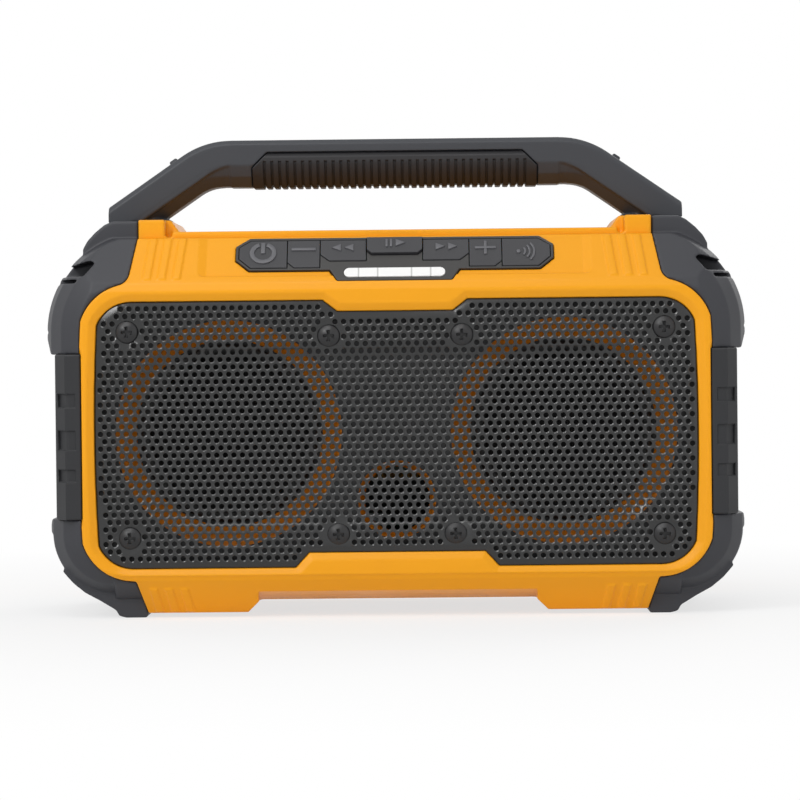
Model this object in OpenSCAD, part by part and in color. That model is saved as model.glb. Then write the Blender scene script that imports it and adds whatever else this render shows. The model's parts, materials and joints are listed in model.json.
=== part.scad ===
// Rugged portable wireless speaker: two-part case, steel grille, end bumpers, carrying handle.
// Frame: +Z up, the front faces -Y, +X to the viewer's right.
// Origin: centre of the footprint, on the floor. All lengths in millimetres.

/* [Case] */
// Margin of the frame beside a driver's flare
side_margin = 15.9; // [14:0.1:18]
// Margin of the frame above a driver's flare
head_margin = 17; // [16:0.25:20]
// Margin of the frame below a driver's flare
foot_margin = 15; // [14:0.25:18]
// Depth of the case, front frame to rear frame
case_d = 124; // [122:1:132]
// Height of the frame's lower edge above the floor
frame_bottom = 17; // [16:0.5:18.5]
// Corner radius of the frame
frame_corner_r = 24; // [22:0.5:26]
// Outward bow of the frame's sides
side_bow = 2; // [1:0.25:3]
// Wall of the case
wall = 3; // [2.5:0.25:3.5]
// Clearance of the case above the floor
belly_gap = 2; // [1.5:0.25:3]
// Half width of the arch under the case
arch_half = 62; // [50:1:70]
// Height of the arch under the case
arch_rise = 5; // [3:0.5:6]

/* [Slopes] */
// Rise of the control slope
slope_rise = 20.5; // [20:0.25:22]
// Run of the control slope
slope_run = 16; // [15.5:0.25:17]
// Setback of the slopes behind the front plane
lip = 1.5; // [1:0.25:2]
// Height of the bevel along the frame's edge
lip_drop = 3.5; // [2:0.5:4]
// Flat shelf behind the control slope
shelf = 3.5; // [3:0.25:5]
// Run of the lower slope
under_run = 11; // [10:0.5:12]
// Setback of the control slope's foot from the frame's side
seam_set = 22; // [20:0.5:24]
// Narrowing of the control slope toward its top
seam_taper = 3.5; // [2.5:0.5:6]
// Radius where the seams meet the frame
seam_r = 6; // [4:0.5:8]
// Setback of the lower slope from the frame's side
low_set = 24.5; // [23:0.5:26]
// Narrowing of the lower slope toward the floor
low_taper = 4.5; // [3:0.5:6]
// Height of the ridge above the slope
ridge_h = 3; // [2.5:0.25:4]
// Height of the handle blocks above the ridge
block_h = 5.5; // [4.5:0.25:6.5]
// Width of a handle block
block_w = 14; // [12:0.5:16]

/* [Grille] */
// Width of the frame beside the grille
frame_side = 6.5; // [6:0.25:8]
// Height of the frame above the grille
frame_head = 8; // [7:0.25:9]
// Height of the frame below the grille
frame_foot = 5.3; // [5:0.25:7]
// Corner radius of the grille
grille_corner_r = 17; // [14:0.5:19]
// Setback of the grille behind the front plane
grille_recess = 2.7; // [2:0.1:3.2]
// Thickness of the grille sheet
grille_t = 1; // [0.8:0.1:1.2]
// Width of the ledge that carries the grille
ledge = 2.5; // [2:0.25:3.5]
// Depth of the grille's dish
dish_depth = 2; // [1:0.25:2.25]
// Half width of the tab above the grille
tab_top_half = 25.5; // [20:0.5:28]
// Height of the tab above the grille
tab_top_h = 5; // [3:0.5:6]
// Half width of the tab below the grille
tab_low_half = 39; // [32:0.5:42]
// Height of the tab below the grille
tab_low_h = 6.6; // [4:0.2:7]

/* [Controls] */
// Half width of the tray round the control panel
tray_half = 87.6; // [84:0.4:90]
// Depth of the tray
tray_depth = 1.2; // [0.8:0.1:1.4]
// Width of the tray's sloped ends
tray_run = 3.8; // [3:0.2:4.6]
// Half width of the control panel
panel_half = 70.7; // [70.2:0.1:73]
// Thickness of the control panel
panel_t = 2.8; // [2.4:0.1:3]
// Height of the play key above the other keys
play_rise = 1.2; // [0.6:0.1:1.6]
// Travel of a key
key_travel = 0.8; // [0.5:0.1:0.9]
// Half length of the light bar
light_half = 22.5; // [18:0.5:23]
// Height of the light bar
light_h = 5; // [4:0.2:5.4]

/* [Handle] */
// Height of the handle above the blocks
handle_h = 37; // [35:0.5:42]
// Height of the handle's section
handle_t = 21; // [19:0.5:23]
// Depth of the handle's section
handle_d = 30; // [28:0.5:34]
// Setback of the handle's bends from the blocks
bend_set = 26; // [24:0.5:28]
// Inner radius of the handle's bends
handle_bend_r = 18; // [16:0.5:19]
// Slope of the handle's legs
handle_fall = 34.5; // [32:0.5:36]
// Distance of the legs' inner bends outside their outer bends
leg_set = 4; // [3:0.5:5]
// How far the legs' front faces reach in past the outer bends
face_set = 5.5; // [4.5:0.25:6]
// Setback of the soft grip from the handle's bends
grip_set = 10; // [8:0.5:14]
// Spacing of the grip's slots
slot_pitch = 3.5; // [3:0.1:4]

/* [Ends] */
// Reach of the bumpers beyond the frame's side
bumper_reach = 16.5; // [15.5:0.5:20]
// Setback of the bumpers behind the front plane
bumper_set = 1; // [0.5:0.25:2]
// Wall of the bumpers
bumper_wall = 5; // [4:0.25:6]
// Radius of a bumper's upper corner
bumper_r = 45; // [42:0.5:48]
// Drop of the shoulder below the handle blocks
shoulder_drop = 0.4; // [0.3:0.1:3]
// Lower end of the side grips
grip_z0 = 44.8; // [42:0.4:48]
// Upper end of the side grips
grip_z1 = 117.6; // [114:0.4:118.4]
// Setback of the side grips from the bumpers' ends
grip_back = 5.4; // [4:0.2:6]
// Thickness of a side grip at front and rear
grip_wrap = 6; // [5:0.25:8]
// Thickness of a side grip at the end
grip_t = 4.3; // [3.5:0.1:5]
// Hook of a side grip over the frame's edge
grip_hook = 1.2; // [0.6:0.1:1.6]

/* [Drivers] */
// Distance of a driver from the middle
driver_x = 74.6; // [73:0.2:77]
// Front radius of a driver's flare
ring_r = 50; // [48:0.25:51]
// Throat radius of a driver's flare
throat_r = 41; // [40.5:0.25:42]
// Height of the bass port
port_z = 52; // [48:0.5:54]
// Front radius of the bass port
flare_r = 17; // [16:0.25:19]
// Inner radius of the bass port
port_r = 14.5; // [13:0.25:15]
// Length of the bass port's tube
port_len = 40; // [25:1:50]
// Travel of a cone each way
cone_travel = 2; // [1:0.25:2.5]

/* [Rear] */
// Half width of the port bay
bay_half = 30; // [28:0.5:36]
// Height of the port bay above the battery cells
bay_lift = 1.6; // [1.2:0.1:6]
// Height of the port bay
bay_h = 18.6; // [17.6:0.2:22]
// Thickness of the port door
door_t = 2.6; // [2.4:0.1:3]
// Radius of the door's pin
pin_r = 0.9; // [0.7:0.05:1]
// Radius of the audio socket's bore
jack_r = 1.8; // [1.75:0.05:1.9]
// Radius of a battery cell
cell_r = 9.2; // [9:0.05:9.3]
// Length of a battery cell
cell_len = 65; // [60:0.5:65.5]

/* [Fits] */
// Gap between fitted parts
gap = 0.3; // [0.2:0.05:0.35]
// Gap between sliding parts
slide = 0.4; // [0.3:0.05:0.5]

/* [Hidden] */
$fn = 72;
driver_z = frame_bottom + foot_margin + ring_r;
frame_top = driver_z + ring_r + head_margin;
frame_half = driver_x + ring_r + side_margin;
seam_root = frame_half - seam_set;
seam_top = seam_root - seam_taper;
seam_low_root = frame_half - low_set;
seam_low = seam_low_root - low_taper;
block_in = seam_top - block_w;
y_front = -case_d / 2;
y_slope0 = y_front + lip;
y_slope1 = y_slope0 + slope_run;
y_joint = y_slope1 + shelf;
z_slope = frame_top + slope_rise;
z_ridge = z_slope + ridge_h;
z_block = z_ridge + block_h;
slope_len = sqrt(slope_rise * slope_rise + slope_run * slope_run);
slope_angle = atan2(slope_rise, slope_run);
under_rise = frame_bottom - belly_gap;
under_len = sqrt(under_rise * under_rise + under_run * under_run);
under_angle = atan2(under_rise, under_run);
wall_back = wall + 1;
wide = 400;

// Grille, cover and baffle, front to back
opening_half = frame_half - frame_side;
opening_z0 = frame_bottom + frame_foot;
opening_z1 = frame_top - frame_head;
y_grille = y_front + grille_recess;
y_ledge = y_grille + grille_t;
y_cover = y_ledge + dish_depth + grille_t + gap;
cover_t = 1;
y_baffle = y_cover + cover_t;
baffle_t = 4;
y_baffle_back = y_baffle + baffle_t;
collar_h = 4;
y_seat = y_baffle_back + collar_h;
dish_half = opening_half - 20;
dish_z0 = opening_z0 + 20;
dish_z1 = opening_z1 - 23;
screw_spots = [
    [opening_half - 15, opening_z1 - 13.5],
    [29.5, opening_z1 - 16],
    [opening_half - 15.5, opening_z0 + 13.7],
    [26, opening_z0 + 14.7]
];
head_r = 4.85;
boss_r = 4.5;
pilot_r = 2.1;
pilot_end = y_baffle_back - 0.8;
shank_r = 1.8;
shank_len = pilot_end - y_grille - 0.3;

// Control slope, measured in its own plane: u across, v up the slope, w outward
slope_wall = 5.5;
panel_top = -0.2;
panel_floor = panel_top - panel_t;
panel_v1 = slope_len - 0.55;
panel_v0 = 7;
key_v1 = panel_v1 - 1.6;
key_v0 = panel_v0 + 1.3;
flange_top = panel_floor - 0.1;
flange_t = 0.9;
stem_end = flange_top - flange_t - 2.9;
switch_top = stem_end - key_travel - 0.1;
board_top = switch_top - 1.7;
board_t = 1.6;
post_u = panel_half + 2.6;
light_v = 5.2;
key_gap = 0.4;
play_half = 12.3;
skip_u = 33;
volume_u = 47.6;
end_u = panel_half - 1.5;

// Joint screws of the case
case_spots = [[post_u + 10.7, z_slope - 11.5], [seam_low - 19.5, belly_gap + 8.5]];
case_seat = y_joint + 12;

// Handle
z_foot = z_block;
handle_bend_x = block_in - bend_set;
grip_half = handle_bend_x - grip_set;
handle_top = z_block + handle_h;
bend_z = handle_top - handle_t - handle_bend_r;
foot_out = seam_top + 16;
tenon_x0 = block_in + 2.5;
tenon_x1 = seam_top - 2.4;
tenon_half = 11;
tenon_z0 = z_slope - 4.5;
socket_floor = tenon_z0 - 4;
handle_pilot = 1.5;

// Bumpers and side grips
bumper_half = frame_half + bumper_reach;
grip_out = bumper_half - grip_back;
y_bumper = y_front + bumper_set;
lobe_top = z_slope;
lobe_z0 = grip_z1 - 3;
lobe_mid = grip_z1 + 7;
lobe_round_z = lobe_mid + 3.4;
low_lobe_z1 = grip_z0 + 5;
low_r = 29.4;
low_z0 = belly_gap + 6.6;
low_half = bumper_half - 1.5;
web_half = grip_out - grip_t - gap;
bumper_spots = [[25, frame_top - frame_corner_r + 2], [25, frame_bottom + frame_corner_r - 3]];
pad_x = frame_half - 7.5;

// Drivers, measured along their own axis, zero in the middle of the case
seat = -y_seat;
flange_r = throat_r + 12;
screw_ring_r = throat_r + 7.5;
edge_r = throat_r - 6.6;
roll_r = 2.7;
neck_r = 9.8;
motor_z = seat - 26;

// Rear
y_back = case_d / 2;
cell_z = belly_gap + arch_rise + wall + 2.4 + cell_r;
bay_y = y_back - 12;
bay_z = cell_z + cell_r + bay_lift;
bay_z1 = bay_z + bay_h;
bay_wall = 2.5;
jack_end = bay_y - bay_wall - gap;
knuckle_r = door_t / 2 + 0.4;
hinge_y = y_back - knuckle_r;
hinge_z = bay_z + knuckle_r + gap;
board_y = y_back - 12;
board_half = 60;
board_z0 = bay_z1 + 9;
board_z1 = driver_z + 48;
port_board_z = bay_z + 5.1;
cell_y = board_y - 22;

// Extrusions of an outline drawn in the XZ, YZ or XY plane
module along_y(y0, y1) {
    translate([0, y1, 0])
        rotate([90, 0, 0])
            linear_extrude(y1 - y0)
                children();
}

module along_x(x0, x1) {
    translate([x0, 0, 0])
        rotate([90, 0, 90])
            linear_extrude(x1 - x0)
                children();
}

module along_z(z0, z1) {
    translate([0, 0, z0])
        linear_extrude(z1 - z0)
            children();
}

module both_sides() {
    children();
    mirror([1, 0, 0])
        children();
}

module front_and_rear() {
    children();
    mirror([0, 1, 0])
        children();
}

// Places children on the control slope
module on_slope() {
    translate([0, y_slope0, frame_top])
        rotate([slope_angle, 0, 0])
            children();
}

// Places children on the lower slope, v upward from its lower edge
module on_under_slope() {
    translate([0, y_slope0 + under_run, belly_gap])
        rotate([180 - under_angle, 0, 0])
            children();
}

// Extrudes a (u, v) outline of the control slope from w0 to w1
module slope_layer(w0, w1) {
    on_slope()
        translate([0, 0, w0])
            linear_extrude(w1 - w0)
                children();
}

// Outlines in the XZ plane
module rounded_plate(half, z0, z1, r) {
    translate([-half, z0 + r])
        square([2 * half, z1 - z0 - 2 * r]);
    translate([-half + r, z0])
        square([2 * (half - r), z1 - z0]);
    for (x = [-half + r, half - r], z = [z0 + r, z1 - r])
        translate([x, z])
            circle(r);
}

module bowed_plate(half, z0, z1, r, bow) {
    rise = (z1 - z0) / 2;
    big = (rise * rise + bow * bow) / (2 * bow);
    intersection() {
        rounded_plate(half, z0, z1, r);
        translate([half - big, (z0 + z1) / 2])
            circle(big, $fn = 720);
        translate([big - half, (z0 + z1) / 2])
            circle(big, $fn = 720);
    }
}

// Fillet between a seam and the frame's corner, drawn for the right end
module seam_fillet(grow = 0) {
    corner = [frame_half - frame_corner_r, frame_top - frame_corner_r];
    tall = norm([seam_taper, slope_rise]);
    run = [-seam_taper, slope_rise] / tall;
    out = [slope_rise, seam_taper] / tall;
    start = [seam_root, frame_top];
    from = start + seam_r * out - corner;
    reach = frame_corner_r + seam_r;
    up = -(from * run) + sqrt(pow(from * run, 2) - from * from + reach * reach);
    touch = start + up * run;
    difference() {
        polygon([corner, touch - 3 * out, touch, touch + seam_r * out]);
        translate(touch + seam_r * out)
            circle(seam_r - grow);
    }
}

module case_outline(grow = 0) {
    case_core(grow);
    both_sides()
        seam_fillet(grow);
}

module case_core(grow = 0) {
    bowed_plate(frame_half + grow, frame_bottom - grow, frame_top + grow, frame_corner_r + grow, side_bow);
    polygon([
        [-seam_root - grow, frame_top - 8], [seam_root + grow, frame_top - 8],
        [seam_root + grow, frame_top], [seam_top + grow, z_slope + grow],
        [-seam_top - grow, z_slope + grow], [-seam_root - grow, frame_top]
    ]);
    polygon([
        [-seam_low_root - grow, frame_bottom + 8], [-seam_low_root - grow, frame_bottom],
        [-seam_low - grow, belly_gap - grow], [-arch_half - 5 + grow, belly_gap - grow],
        [-arch_half + grow, belly_gap + arch_rise - grow], [arch_half - grow, belly_gap + arch_rise - grow],
        [arch_half + 5 - grow, belly_gap - grow], [seam_low + grow, belly_gap - grow],
        [seam_low_root + grow, frame_bottom], [seam_low_root + grow, frame_bottom + 8]
    ]);
}

module opening_outline(grow = 0) {
    difference() {
        bowed_plate(
            opening_half + grow, opening_z0 - grow, opening_z1 + grow, grille_corner_r + grow, side_bow
        );
        polygon([
            [-tab_top_half + grow, opening_z1 - tab_top_h + grow],
            [tab_top_half - grow, opening_z1 - tab_top_h + grow],
            [tab_top_half + 6.5 - grow, opening_z1 + grow + 0.01],
            [tab_top_half + 6.5 - grow, opening_z1 + 9],
            [-tab_top_half - 6.5 + grow, opening_z1 + 9],
            [-tab_top_half - 6.5 + grow, opening_z1 + grow + 0.01]
        ]);
        polygon([
            [-tab_low_half + grow, opening_z0 + tab_low_h - grow],
            [tab_low_half - grow, opening_z0 + tab_low_h - grow],
            [tab_low_half + 6 - grow, opening_z0 - grow - 0.01],
            [tab_low_half + 6 - grow, opening_z0 - 9],
            [-tab_low_half - 6 + grow, opening_z0 - 9],
            [-tab_low_half - 6 + grow, opening_z0 - grow - 0.01]
        ]);
    }
}

module dish_outline(grow = 0) {
    rounded_plate(dish_half + grow, dish_z0 - grow, dish_z1 + grow, 20 + grow);
}

// Outline of the case in the YZ plane
module case_profile() {
    polygon([
        [y_front, frame_bottom + lip_drop], [y_front, frame_top - lip_drop],
        [y_slope0, frame_top], [y_slope1, z_slope], [-y_slope1, z_slope], [-y_slope0, frame_top],
        [-y_front, frame_top - lip_drop], [-y_front, frame_bottom + lip_drop],
        [-y_slope0, frame_bottom], [-y_slope0 - under_run, belly_gap],
        [y_slope0 + under_run, belly_gap], [y_slope0, frame_bottom]
    ]);
}

// Cavity of the front shell in the YZ plane
module front_cavity_profile() {
    s = slope_wall * slope_len / slope_rise;
    u = wall * under_len / under_rise;
    k = slope_rise / slope_run;
    m = under_rise / under_run;
    z_end = frame_top + (y_baffle_back - y_slope0 - s) * k;
    z_far = frame_top + (y_joint + 1 - y_slope0 - s) * k;
    polygon([
        [y_baffle_back, z_end], [y_joint + 1, z_far], [y_joint + 1, 0],
        [y_slope0 + u + frame_bottom / m, 0],
        [y_baffle_back, frame_bottom - (y_baffle_back - y_slope0 - u) * m]
    ]);
}

// Cavity of the rear shell in the YZ plane
module rear_cavity_profile() {
    s = wall * slope_len / slope_rise;
    u = wall * under_len / under_rise;
    k = slope_rise / slope_run;
    m = under_rise / under_run;
    polygon([
        [y_joint - 1, z_slope], [-y_slope1 - s, z_slope],
        [y_back - wall_back, frame_top - (lip + s - wall_back) * k],
        [y_back - wall_back, frame_bottom + (lip + u - wall_back) * m],
        [-y_slope0 - u - frame_bottom / m, 0], [y_joint - 1, 0]
    ]);
}

// Cylinder along the front-to-back axis
module rod_y(x, z, r, y0, y1) {
    translate([x, y1, z])
        rotate([90, 0, 0])
            cylinder(h = y1 - y0, r = r);
}

module rod_x(y, z, r, x0, x1) {
    translate([x0, y, z])
        rotate([0, 90, 0])
            cylinder(h = x1 - x0, r = r);
}

module slanted_bar(top_u, low_u, v0, v1, h) {
    translate([0, 0, -1])
        linear_extrude(h + 1)
            polygon([[low_u - 1.6, v0], [low_u + 1.6, v0], [top_u + 1.6, v1], [top_u - 1.6, v1]]);
}

// Ribs beside the controls and on the lower slope
module slope_bars() {
    both_sides() {
        on_slope()
            for (k = [0:2])
                slanted_bar(seam_top - 20.4 + 6.6 * k, seam_top - 18.1 + 6.6 * k, 2, slope_len - 0.6, 0.7);
        on_under_slope()
            for (k = [0:2])
                slanted_bar(seam_low - 16.5 + 6.8 * k, seam_low - 18.9 + 6.8 * k,
                    0.8, under_len - 4.2, 0.7);
    }
}

// Outlines on the control slope
module panel_outline(grow = 0) {
    polygon([
        [-panel_half + 6.2 - grow * 0.6, panel_v1 + grow], [-panel_half - grow, panel_v1 - 4.7],
        [-panel_half - grow, panel_v0 + 6], [-panel_half + 6.2 - grow * 0.6, panel_v0 - grow],
        [-28.7 - grow, panel_v0 - grow], [-25.4 - grow, 0.8 - grow], [25.4 + grow, 0.8 - grow],
        [28.7 + grow, panel_v0 - grow], [panel_half - 6.2 + grow * 0.6, panel_v0 - grow],
        [panel_half + grow, panel_v0 + 6], [panel_half + grow, panel_v1 - 4.7],
        [panel_half - 6.2 + grow * 0.6, panel_v1 + grow]
    ]);
}

module tray_outline() {
    translate([-tray_half, 3.7 + 3])
        square([2 * tray_half, 30]);
    translate([-tray_half + 3, 3.7])
        square([2 * tray_half - 6, 30]);
    for (u = [-tray_half + 3, tray_half - 3])
        translate([u, 6.7])
            circle(3);
}

// Shallow tray round the controls, with sloped ends
module tray() {
    intersection() {
        slope_layer(-tray_depth, 6)
            tray_outline();
        on_slope()
            along_y(-10, 60)
                polygon([
                    [2 * tray_run - tray_half, -2 * tray_depth],
                    [tray_half - 2 * tray_run, -2 * tray_depth],
                    [tray_half + 5 * tray_run, 5 * tray_depth],
                    [-tray_half - 5 * tray_run, 5 * tray_depth]
                ]);
    }
}

module light_outline(grow = 0) {
    r = light_h / 2 + grow;
    translate([-light_half + light_h / 2, light_v - r])
        square([2 * light_half - light_h, 2 * r]);
    for (u = [-light_half + light_h / 2, light_half - light_h / 2])
        translate([u, light_v])
            circle(r);
}

module key_well_outline(grow = 0) {
    u0 = end_u - 4.9 + grow * 0.5;
    u1 = end_u + 0.5 + grow;
    v0 = key_v0 - 0.9 - grow;
    v1 = key_v1 + 1.1 + grow;
    polygon([
        [-u0, v1], [-u1, key_v1 - 3.4], [-u1, key_v0 + 5], [-u0, v0],
        [u0, v0], [u1, key_v0 + 5], [u1, key_v1 - 3.4], [u0, v1]
    ]);
}

module play_outline(grow = 0) {
    polygon([
        [-play_half - grow, key_v1 + 0.6 + grow], [-play_half - grow, key_v0 + 9.2],
        [-play_half + 2, key_v0 + 7.2 - grow], [play_half - 2, key_v0 + 7.2 - grow],
        [play_half + grow, key_v0 + 9.2], [play_half + grow, key_v1 + 0.6 + grow]
    ]);
}

module skip_outline(grow = 0) {
    polygon([
        [play_half + key_gap - grow, key_v1 + grow], [play_half + key_gap - grow, key_v0 + 3.8 - grow],
        [skip_u - 4 + grow * 0.4, key_v0 + 3.8 - grow], [skip_u + grow, key_v0 + 7.4],
        [skip_u + grow, key_v1 + grow]
    ]);
}

module volume_outline(grow = 0) {
    polygon([
        [skip_u + key_gap - grow, key_v1 + grow], [skip_u + key_gap - grow, key_v0 - grow],
        [volume_u - 3 + grow * 0.4, key_v0 - grow], [volume_u + grow, key_v0 + 3],
        [volume_u + grow, key_v1 + grow]
    ]);
}

module end_key_outline(grow = 0) {
    polygon([
        [volume_u + key_gap - grow, key_v1 + grow], [volume_u + key_gap - grow, key_v0 - grow],
        [end_u - 5.2 + grow * 0.4, key_v0 - grow], [end_u + grow, key_v0 + 5.2],
        [end_u + grow, key_v1 - 3.8], [end_u - 5.2 + grow * 0.4, key_v1 + grow]
    ]);
}

module keys_outline(grow) {
    play_outline(grow);
    for (m = [0, 1])
        mirror([m, 0]) {
            skip_outline(grow);
            volume_outline(grow);
            end_key_outline(grow);
        }
}

// A key's cap, its hidden flange and its stem
module key_body(u, v0, rise) {
    slope_layer(flange_top - 0.2, rise)
        children();
    slope_layer(flange_top - flange_t, flange_top)
        intersection() {
            union() {
                children();
                translate([0, 0.6])
                    children();
                translate([0, -0.6])
                    children();
            }
            key_well_outline(-slide);
        }
    on_slope()
        translate([u, (v0 + key_v1) / 2, stem_end])
            cylinder(h = flange_top - stem_end - 0.2, r = 2.2);
}

// The case
module front_solid() {
    intersection() {
        along_y(y_front, y_joint)
            case_outline();
        along_x(-wide, wide)
            case_profile();
    }
    intersection() {
        slope_bars();
        along_y(y_front - 5, y_joint)
            case_outline(1);
    }
}

module driver_axis(x, z) {
    translate([x, 0, z])
        rotate([90, 0, 0])
            children();
}

module front_cavity() {
    difference() {
        intersection() {
            along_y(y_baffle_back, y_joint + 1)
                case_outline(-wall);
            along_x(-wide, wide)
                front_cavity_profile();
        }
        both_sides() {
            driver_axis(driver_x, driver_z)
                translate([0, 0, seat])
                    cylinder(h = 20, r = flange_r + 1.5);
            for (p = case_spots)
                rod_y(p[0], p[1], boss_r, y_baffle_back - 5, y_joint);
            on_slope()
                translate([post_u, 16.5, board_top])
                    cylinder(h = 9, r = 2.4);
        }
        driver_axis(0, port_z)
            translate([0, 0, seat - 2])
                cylinder(h = 20, r = port_r + 2.5);
    }
}

module gasket_ring(t) {
    along_y(y_joint - t, y_joint + t)
        difference() {
            case_core(-0.8);
            case_core(-2.1);
        }
}

module front_shell() {
    color("#F39A1B")
        difference() {
            front_solid();
            along_y(y_front - 1, y_ledge)
                opening_outline();
            along_y(y_ledge - 1, y_baffle)
                difference() {
                    opening_outline(-ledge);
                    for (p = screw_spots, s = [-1, 1])
                        translate([s * p[0], p[1]])
                            circle(boss_r);
                }
            front_cavity();
            both_sides() {
                driver_axis(driver_x, driver_z) {
                    translate([0, 0, seat])
                        cylinder(h = -y_baffle - seat, r1 = throat_r, r2 = ring_r);
                    translate([0, 0, seat - 1])
                        cylinder(h = 1.01, r = throat_r);
                    for (a = [45:90:315])
                        rotate([0, 0, a])
                            translate([screw_ring_r, 0, seat - 1])
                                cylinder(h = 5.5, r = 1.3);
                }
                for (p = screw_spots)
                    rod_y(p[0], p[1], pilot_r, y_ledge - 1, pilot_end);
                for (p = case_spots)
                    rod_y(p[0], p[1], 1.5, y_joint - 7, y_joint + 1);
                on_slope()
                    translate([post_u, 16.5, board_top - 0.5])
                        cylinder(h = 5, r = 1.1);
            }
            driver_axis(0, port_z) {
                translate([0, 0, -y_baffle_back])
                    cylinder(h = baffle_t, r1 = port_r, r2 = flare_r);
                translate([0, 0, seat - 3])
                    cylinder(h = -y_baffle_back - seat + 3.01, r = port_r);
            }
            both_sides()
                hook_notch();
            tray();
            slope_layer(panel_floor, 6)
                panel_outline(0.25);
            slope_layer(-12, panel_floor + 1)
                key_well_outline();
            along_x(-arch_half, arch_half)
                polygon([
                    [y_slope0 + 3, frame_bottom - 5], [y_slope0 + 20, belly_gap + arch_rise],
                    [y_slope0 + 20, -5], [y_slope0 - 20, -5], [y_slope0 - 20, frame_bottom - 5]
                ]);
            gasket_ring(0.6);
        }
}

module rear_solid() {
    intersection() {
        along_y(y_joint, y_back)
            case_outline();
        along_x(-wide, wide)
            case_profile();
    }
    along_y(y_joint, -y_joint)
        polygon([
            [-seam_top, z_slope - 1], [seam_top, z_slope - 1], [seam_top, z_block],
            [block_in, z_block], [block_in - 4, z_ridge], [4 - block_in, z_ridge],
            [-block_in, z_block], [-seam_top, z_block]
        ]);
    intersection() {
        mirror([0, 1, 0])
            slope_bars();
        along_y(-y_joint, y_back + 5)
            case_outline(1);
    }
}

// Notches that set the blocks' inner slopes back from their faces, drawn for the right end
module block_notch() {
    front_and_rear() {
        translate([block_in - 1, y_joint - 1, z_slope + 0.5])
            cube([3, 9, 30]);
        translate([block_in - 7, y_joint - 1, z_ridge])
            cube([8, 9, 30]);
    }
}

// Screw columns, sockets, posts and bay walls that stand in the rear shell's cavity
module rear_fittings() {
    both_sides() {
        for (p = case_spots)
            rod_y(p[0], p[1], 5, y_joint, y_back);
        along_y(-tenon_half - 3, tenon_half + 3)
            translate([tenon_x0 - 3, socket_floor])
                square([30, 30]);
        for (z = [board_z0 + 5, board_z1 - 5])
            rod_y(board_half - 6, z, 3.2, board_y, y_back);
        for (p = bumper_spots, s = [-1, 1])
            rod_x(s * p[0], p[1], 4.5, pad_x, frame_half);
        translate([cell_len + 3, cell_y, belly_gap])
            cylinder(h = arch_rise + wall + 0.4, r = 6);
    }
}

module rear_shell() {
    color("#F39A1B")
        difference() {
            rear_solid();
            difference() {
                union() {
                    intersection() {
                        along_y(y_joint - 1, y_back)
                            case_outline(-wall);
                        along_x(-wide, wide)
                            rear_cavity_profile();
                    }
                    along_y(y_joint + wall, -y_joint - wall)
                        polygon([
                            [13 - block_in, z_slope - wall - 1], [block_in - 13, z_slope - wall - 1],
                            [block_in - 16, z_ridge - wall], [16 - block_in, z_ridge - wall]
                        ]);
                }
                rear_fittings();
            }
            both_sides() {
                for (p = case_spots) {
                    rod_y(p[0], p[1], 2.1, y_joint - 1, y_back);
                    rod_y(p[0], p[1], 4, case_seat, y_back + 1);
                }
                translate([tenon_x0 - gap, -tenon_half - gap, tenon_z0 - gap])
                    cube([tenon_x1 - tenon_x0 + 2 * gap, 2 * tenon_half + 2 * gap, 60]);
                for (s = [-1, 1])
                    translate([(tenon_x0 + tenon_x1) / 2, s * 6, socket_floor - 1])
                        cylinder(h = 8, r = 2);
                for (z = [board_z0 + 5, board_z1 - 5])
                    rod_y(board_half - 6, z, 1.2, board_y - 1, board_y + 6);
                for (p = bumper_spots, s = [-1, 1])
                    rod_x(s * p[0], p[1], 2, pad_x - 1, frame_half + 3);
                translate([cell_len + 3, cell_y, belly_gap + 2])
                    cylinder(h = arch_rise + wall, r = 1.2);
            }
            both_sides() {
                hook_notch();
                block_notch();
            }
            along_y(y_back - wall_back - 1, y_back + 1)
                bay_outline(bay_wall + gap);
            along_y(y_back - 1.2, y_back + 1)
                difference() {
                    bowed_plate(frame_half - 14, bay_z1 + 8, frame_top - 11, 14, side_bow);
                    for (k = [0:3])
                        translate([-95, bay_z1 + 22 + 16 * k])
                            square([190, 5]);
                }
            finger_notch();
            gasket_ring(0.6);
        }
}

module socket_outline(grow = 0) {
    r = 1.65 + grow;
    translate([-12 - 2.85, port_board_z + 1.7 - r])
        square([5.7, 2 * r]);
    for (s = [-1, 1])
        translate([-12 + s * 2.85, port_board_z + 1.7])
            circle(r);
}

module shell_gasket() {
    color("#26282A")
        gasket_ring(0.6);
}

// Front grille and what lies behind it
module front_grille() {
    color("#1B1C1E")
        difference() {
            union() {
                along_y(y_grille, y_ledge)
                    opening_outline(-0.15);
                along_y(y_grille, y_ledge + dish_depth)
                    dish_outline(grille_t);
            }
            along_y(y_grille - 1, y_grille + dish_depth)
                dish_outline();
            for (p = screw_spots, s = [-1, 1])
                rod_y(s * p[0], p[1], pilot_r + 0.2, y_grille - 1, y_ledge + 1);
        }
}

module grille_screw() {
    difference() {
        union() {
            rotate_extrude()
                intersection() {
                    square([head_r, 2.6]);
                    translate([0, -4.6])
                        circle(7.2);
                }
            translate([0, 0, -shank_len])
                cylinder(h = shank_len + 0.5, r = shank_r);
        }
        for (a = [0, 90])
            rotate([0, 0, a])
                translate([-2.4, -0.55, 0.7])
                    cube([4.8, 1.1, 5]);
    }
}

module grille_screws() {
    color("#131314")
        for (p = screw_spots, s = [-1, 1])
            translate([s * p[0], y_grille, p[1]])
                rotate([90, 0, 0])
                    grille_screw();
}

module baffle_cover() {
    color("#161718")
        along_y(y_cover, y_baffle)
            difference() {
                opening_outline(-ledge - gap);
                for (s = [-1, 1])
                    translate([s * driver_x, driver_z])
                        circle(ring_r + 0.4);
                translate([0, port_z])
                    circle(flare_r + 0.4);
                for (p = screw_spots, s = [-1, 1])
                    translate([s * p[0], p[1]])
                        circle(boss_r + gap);
            }
}

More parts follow.
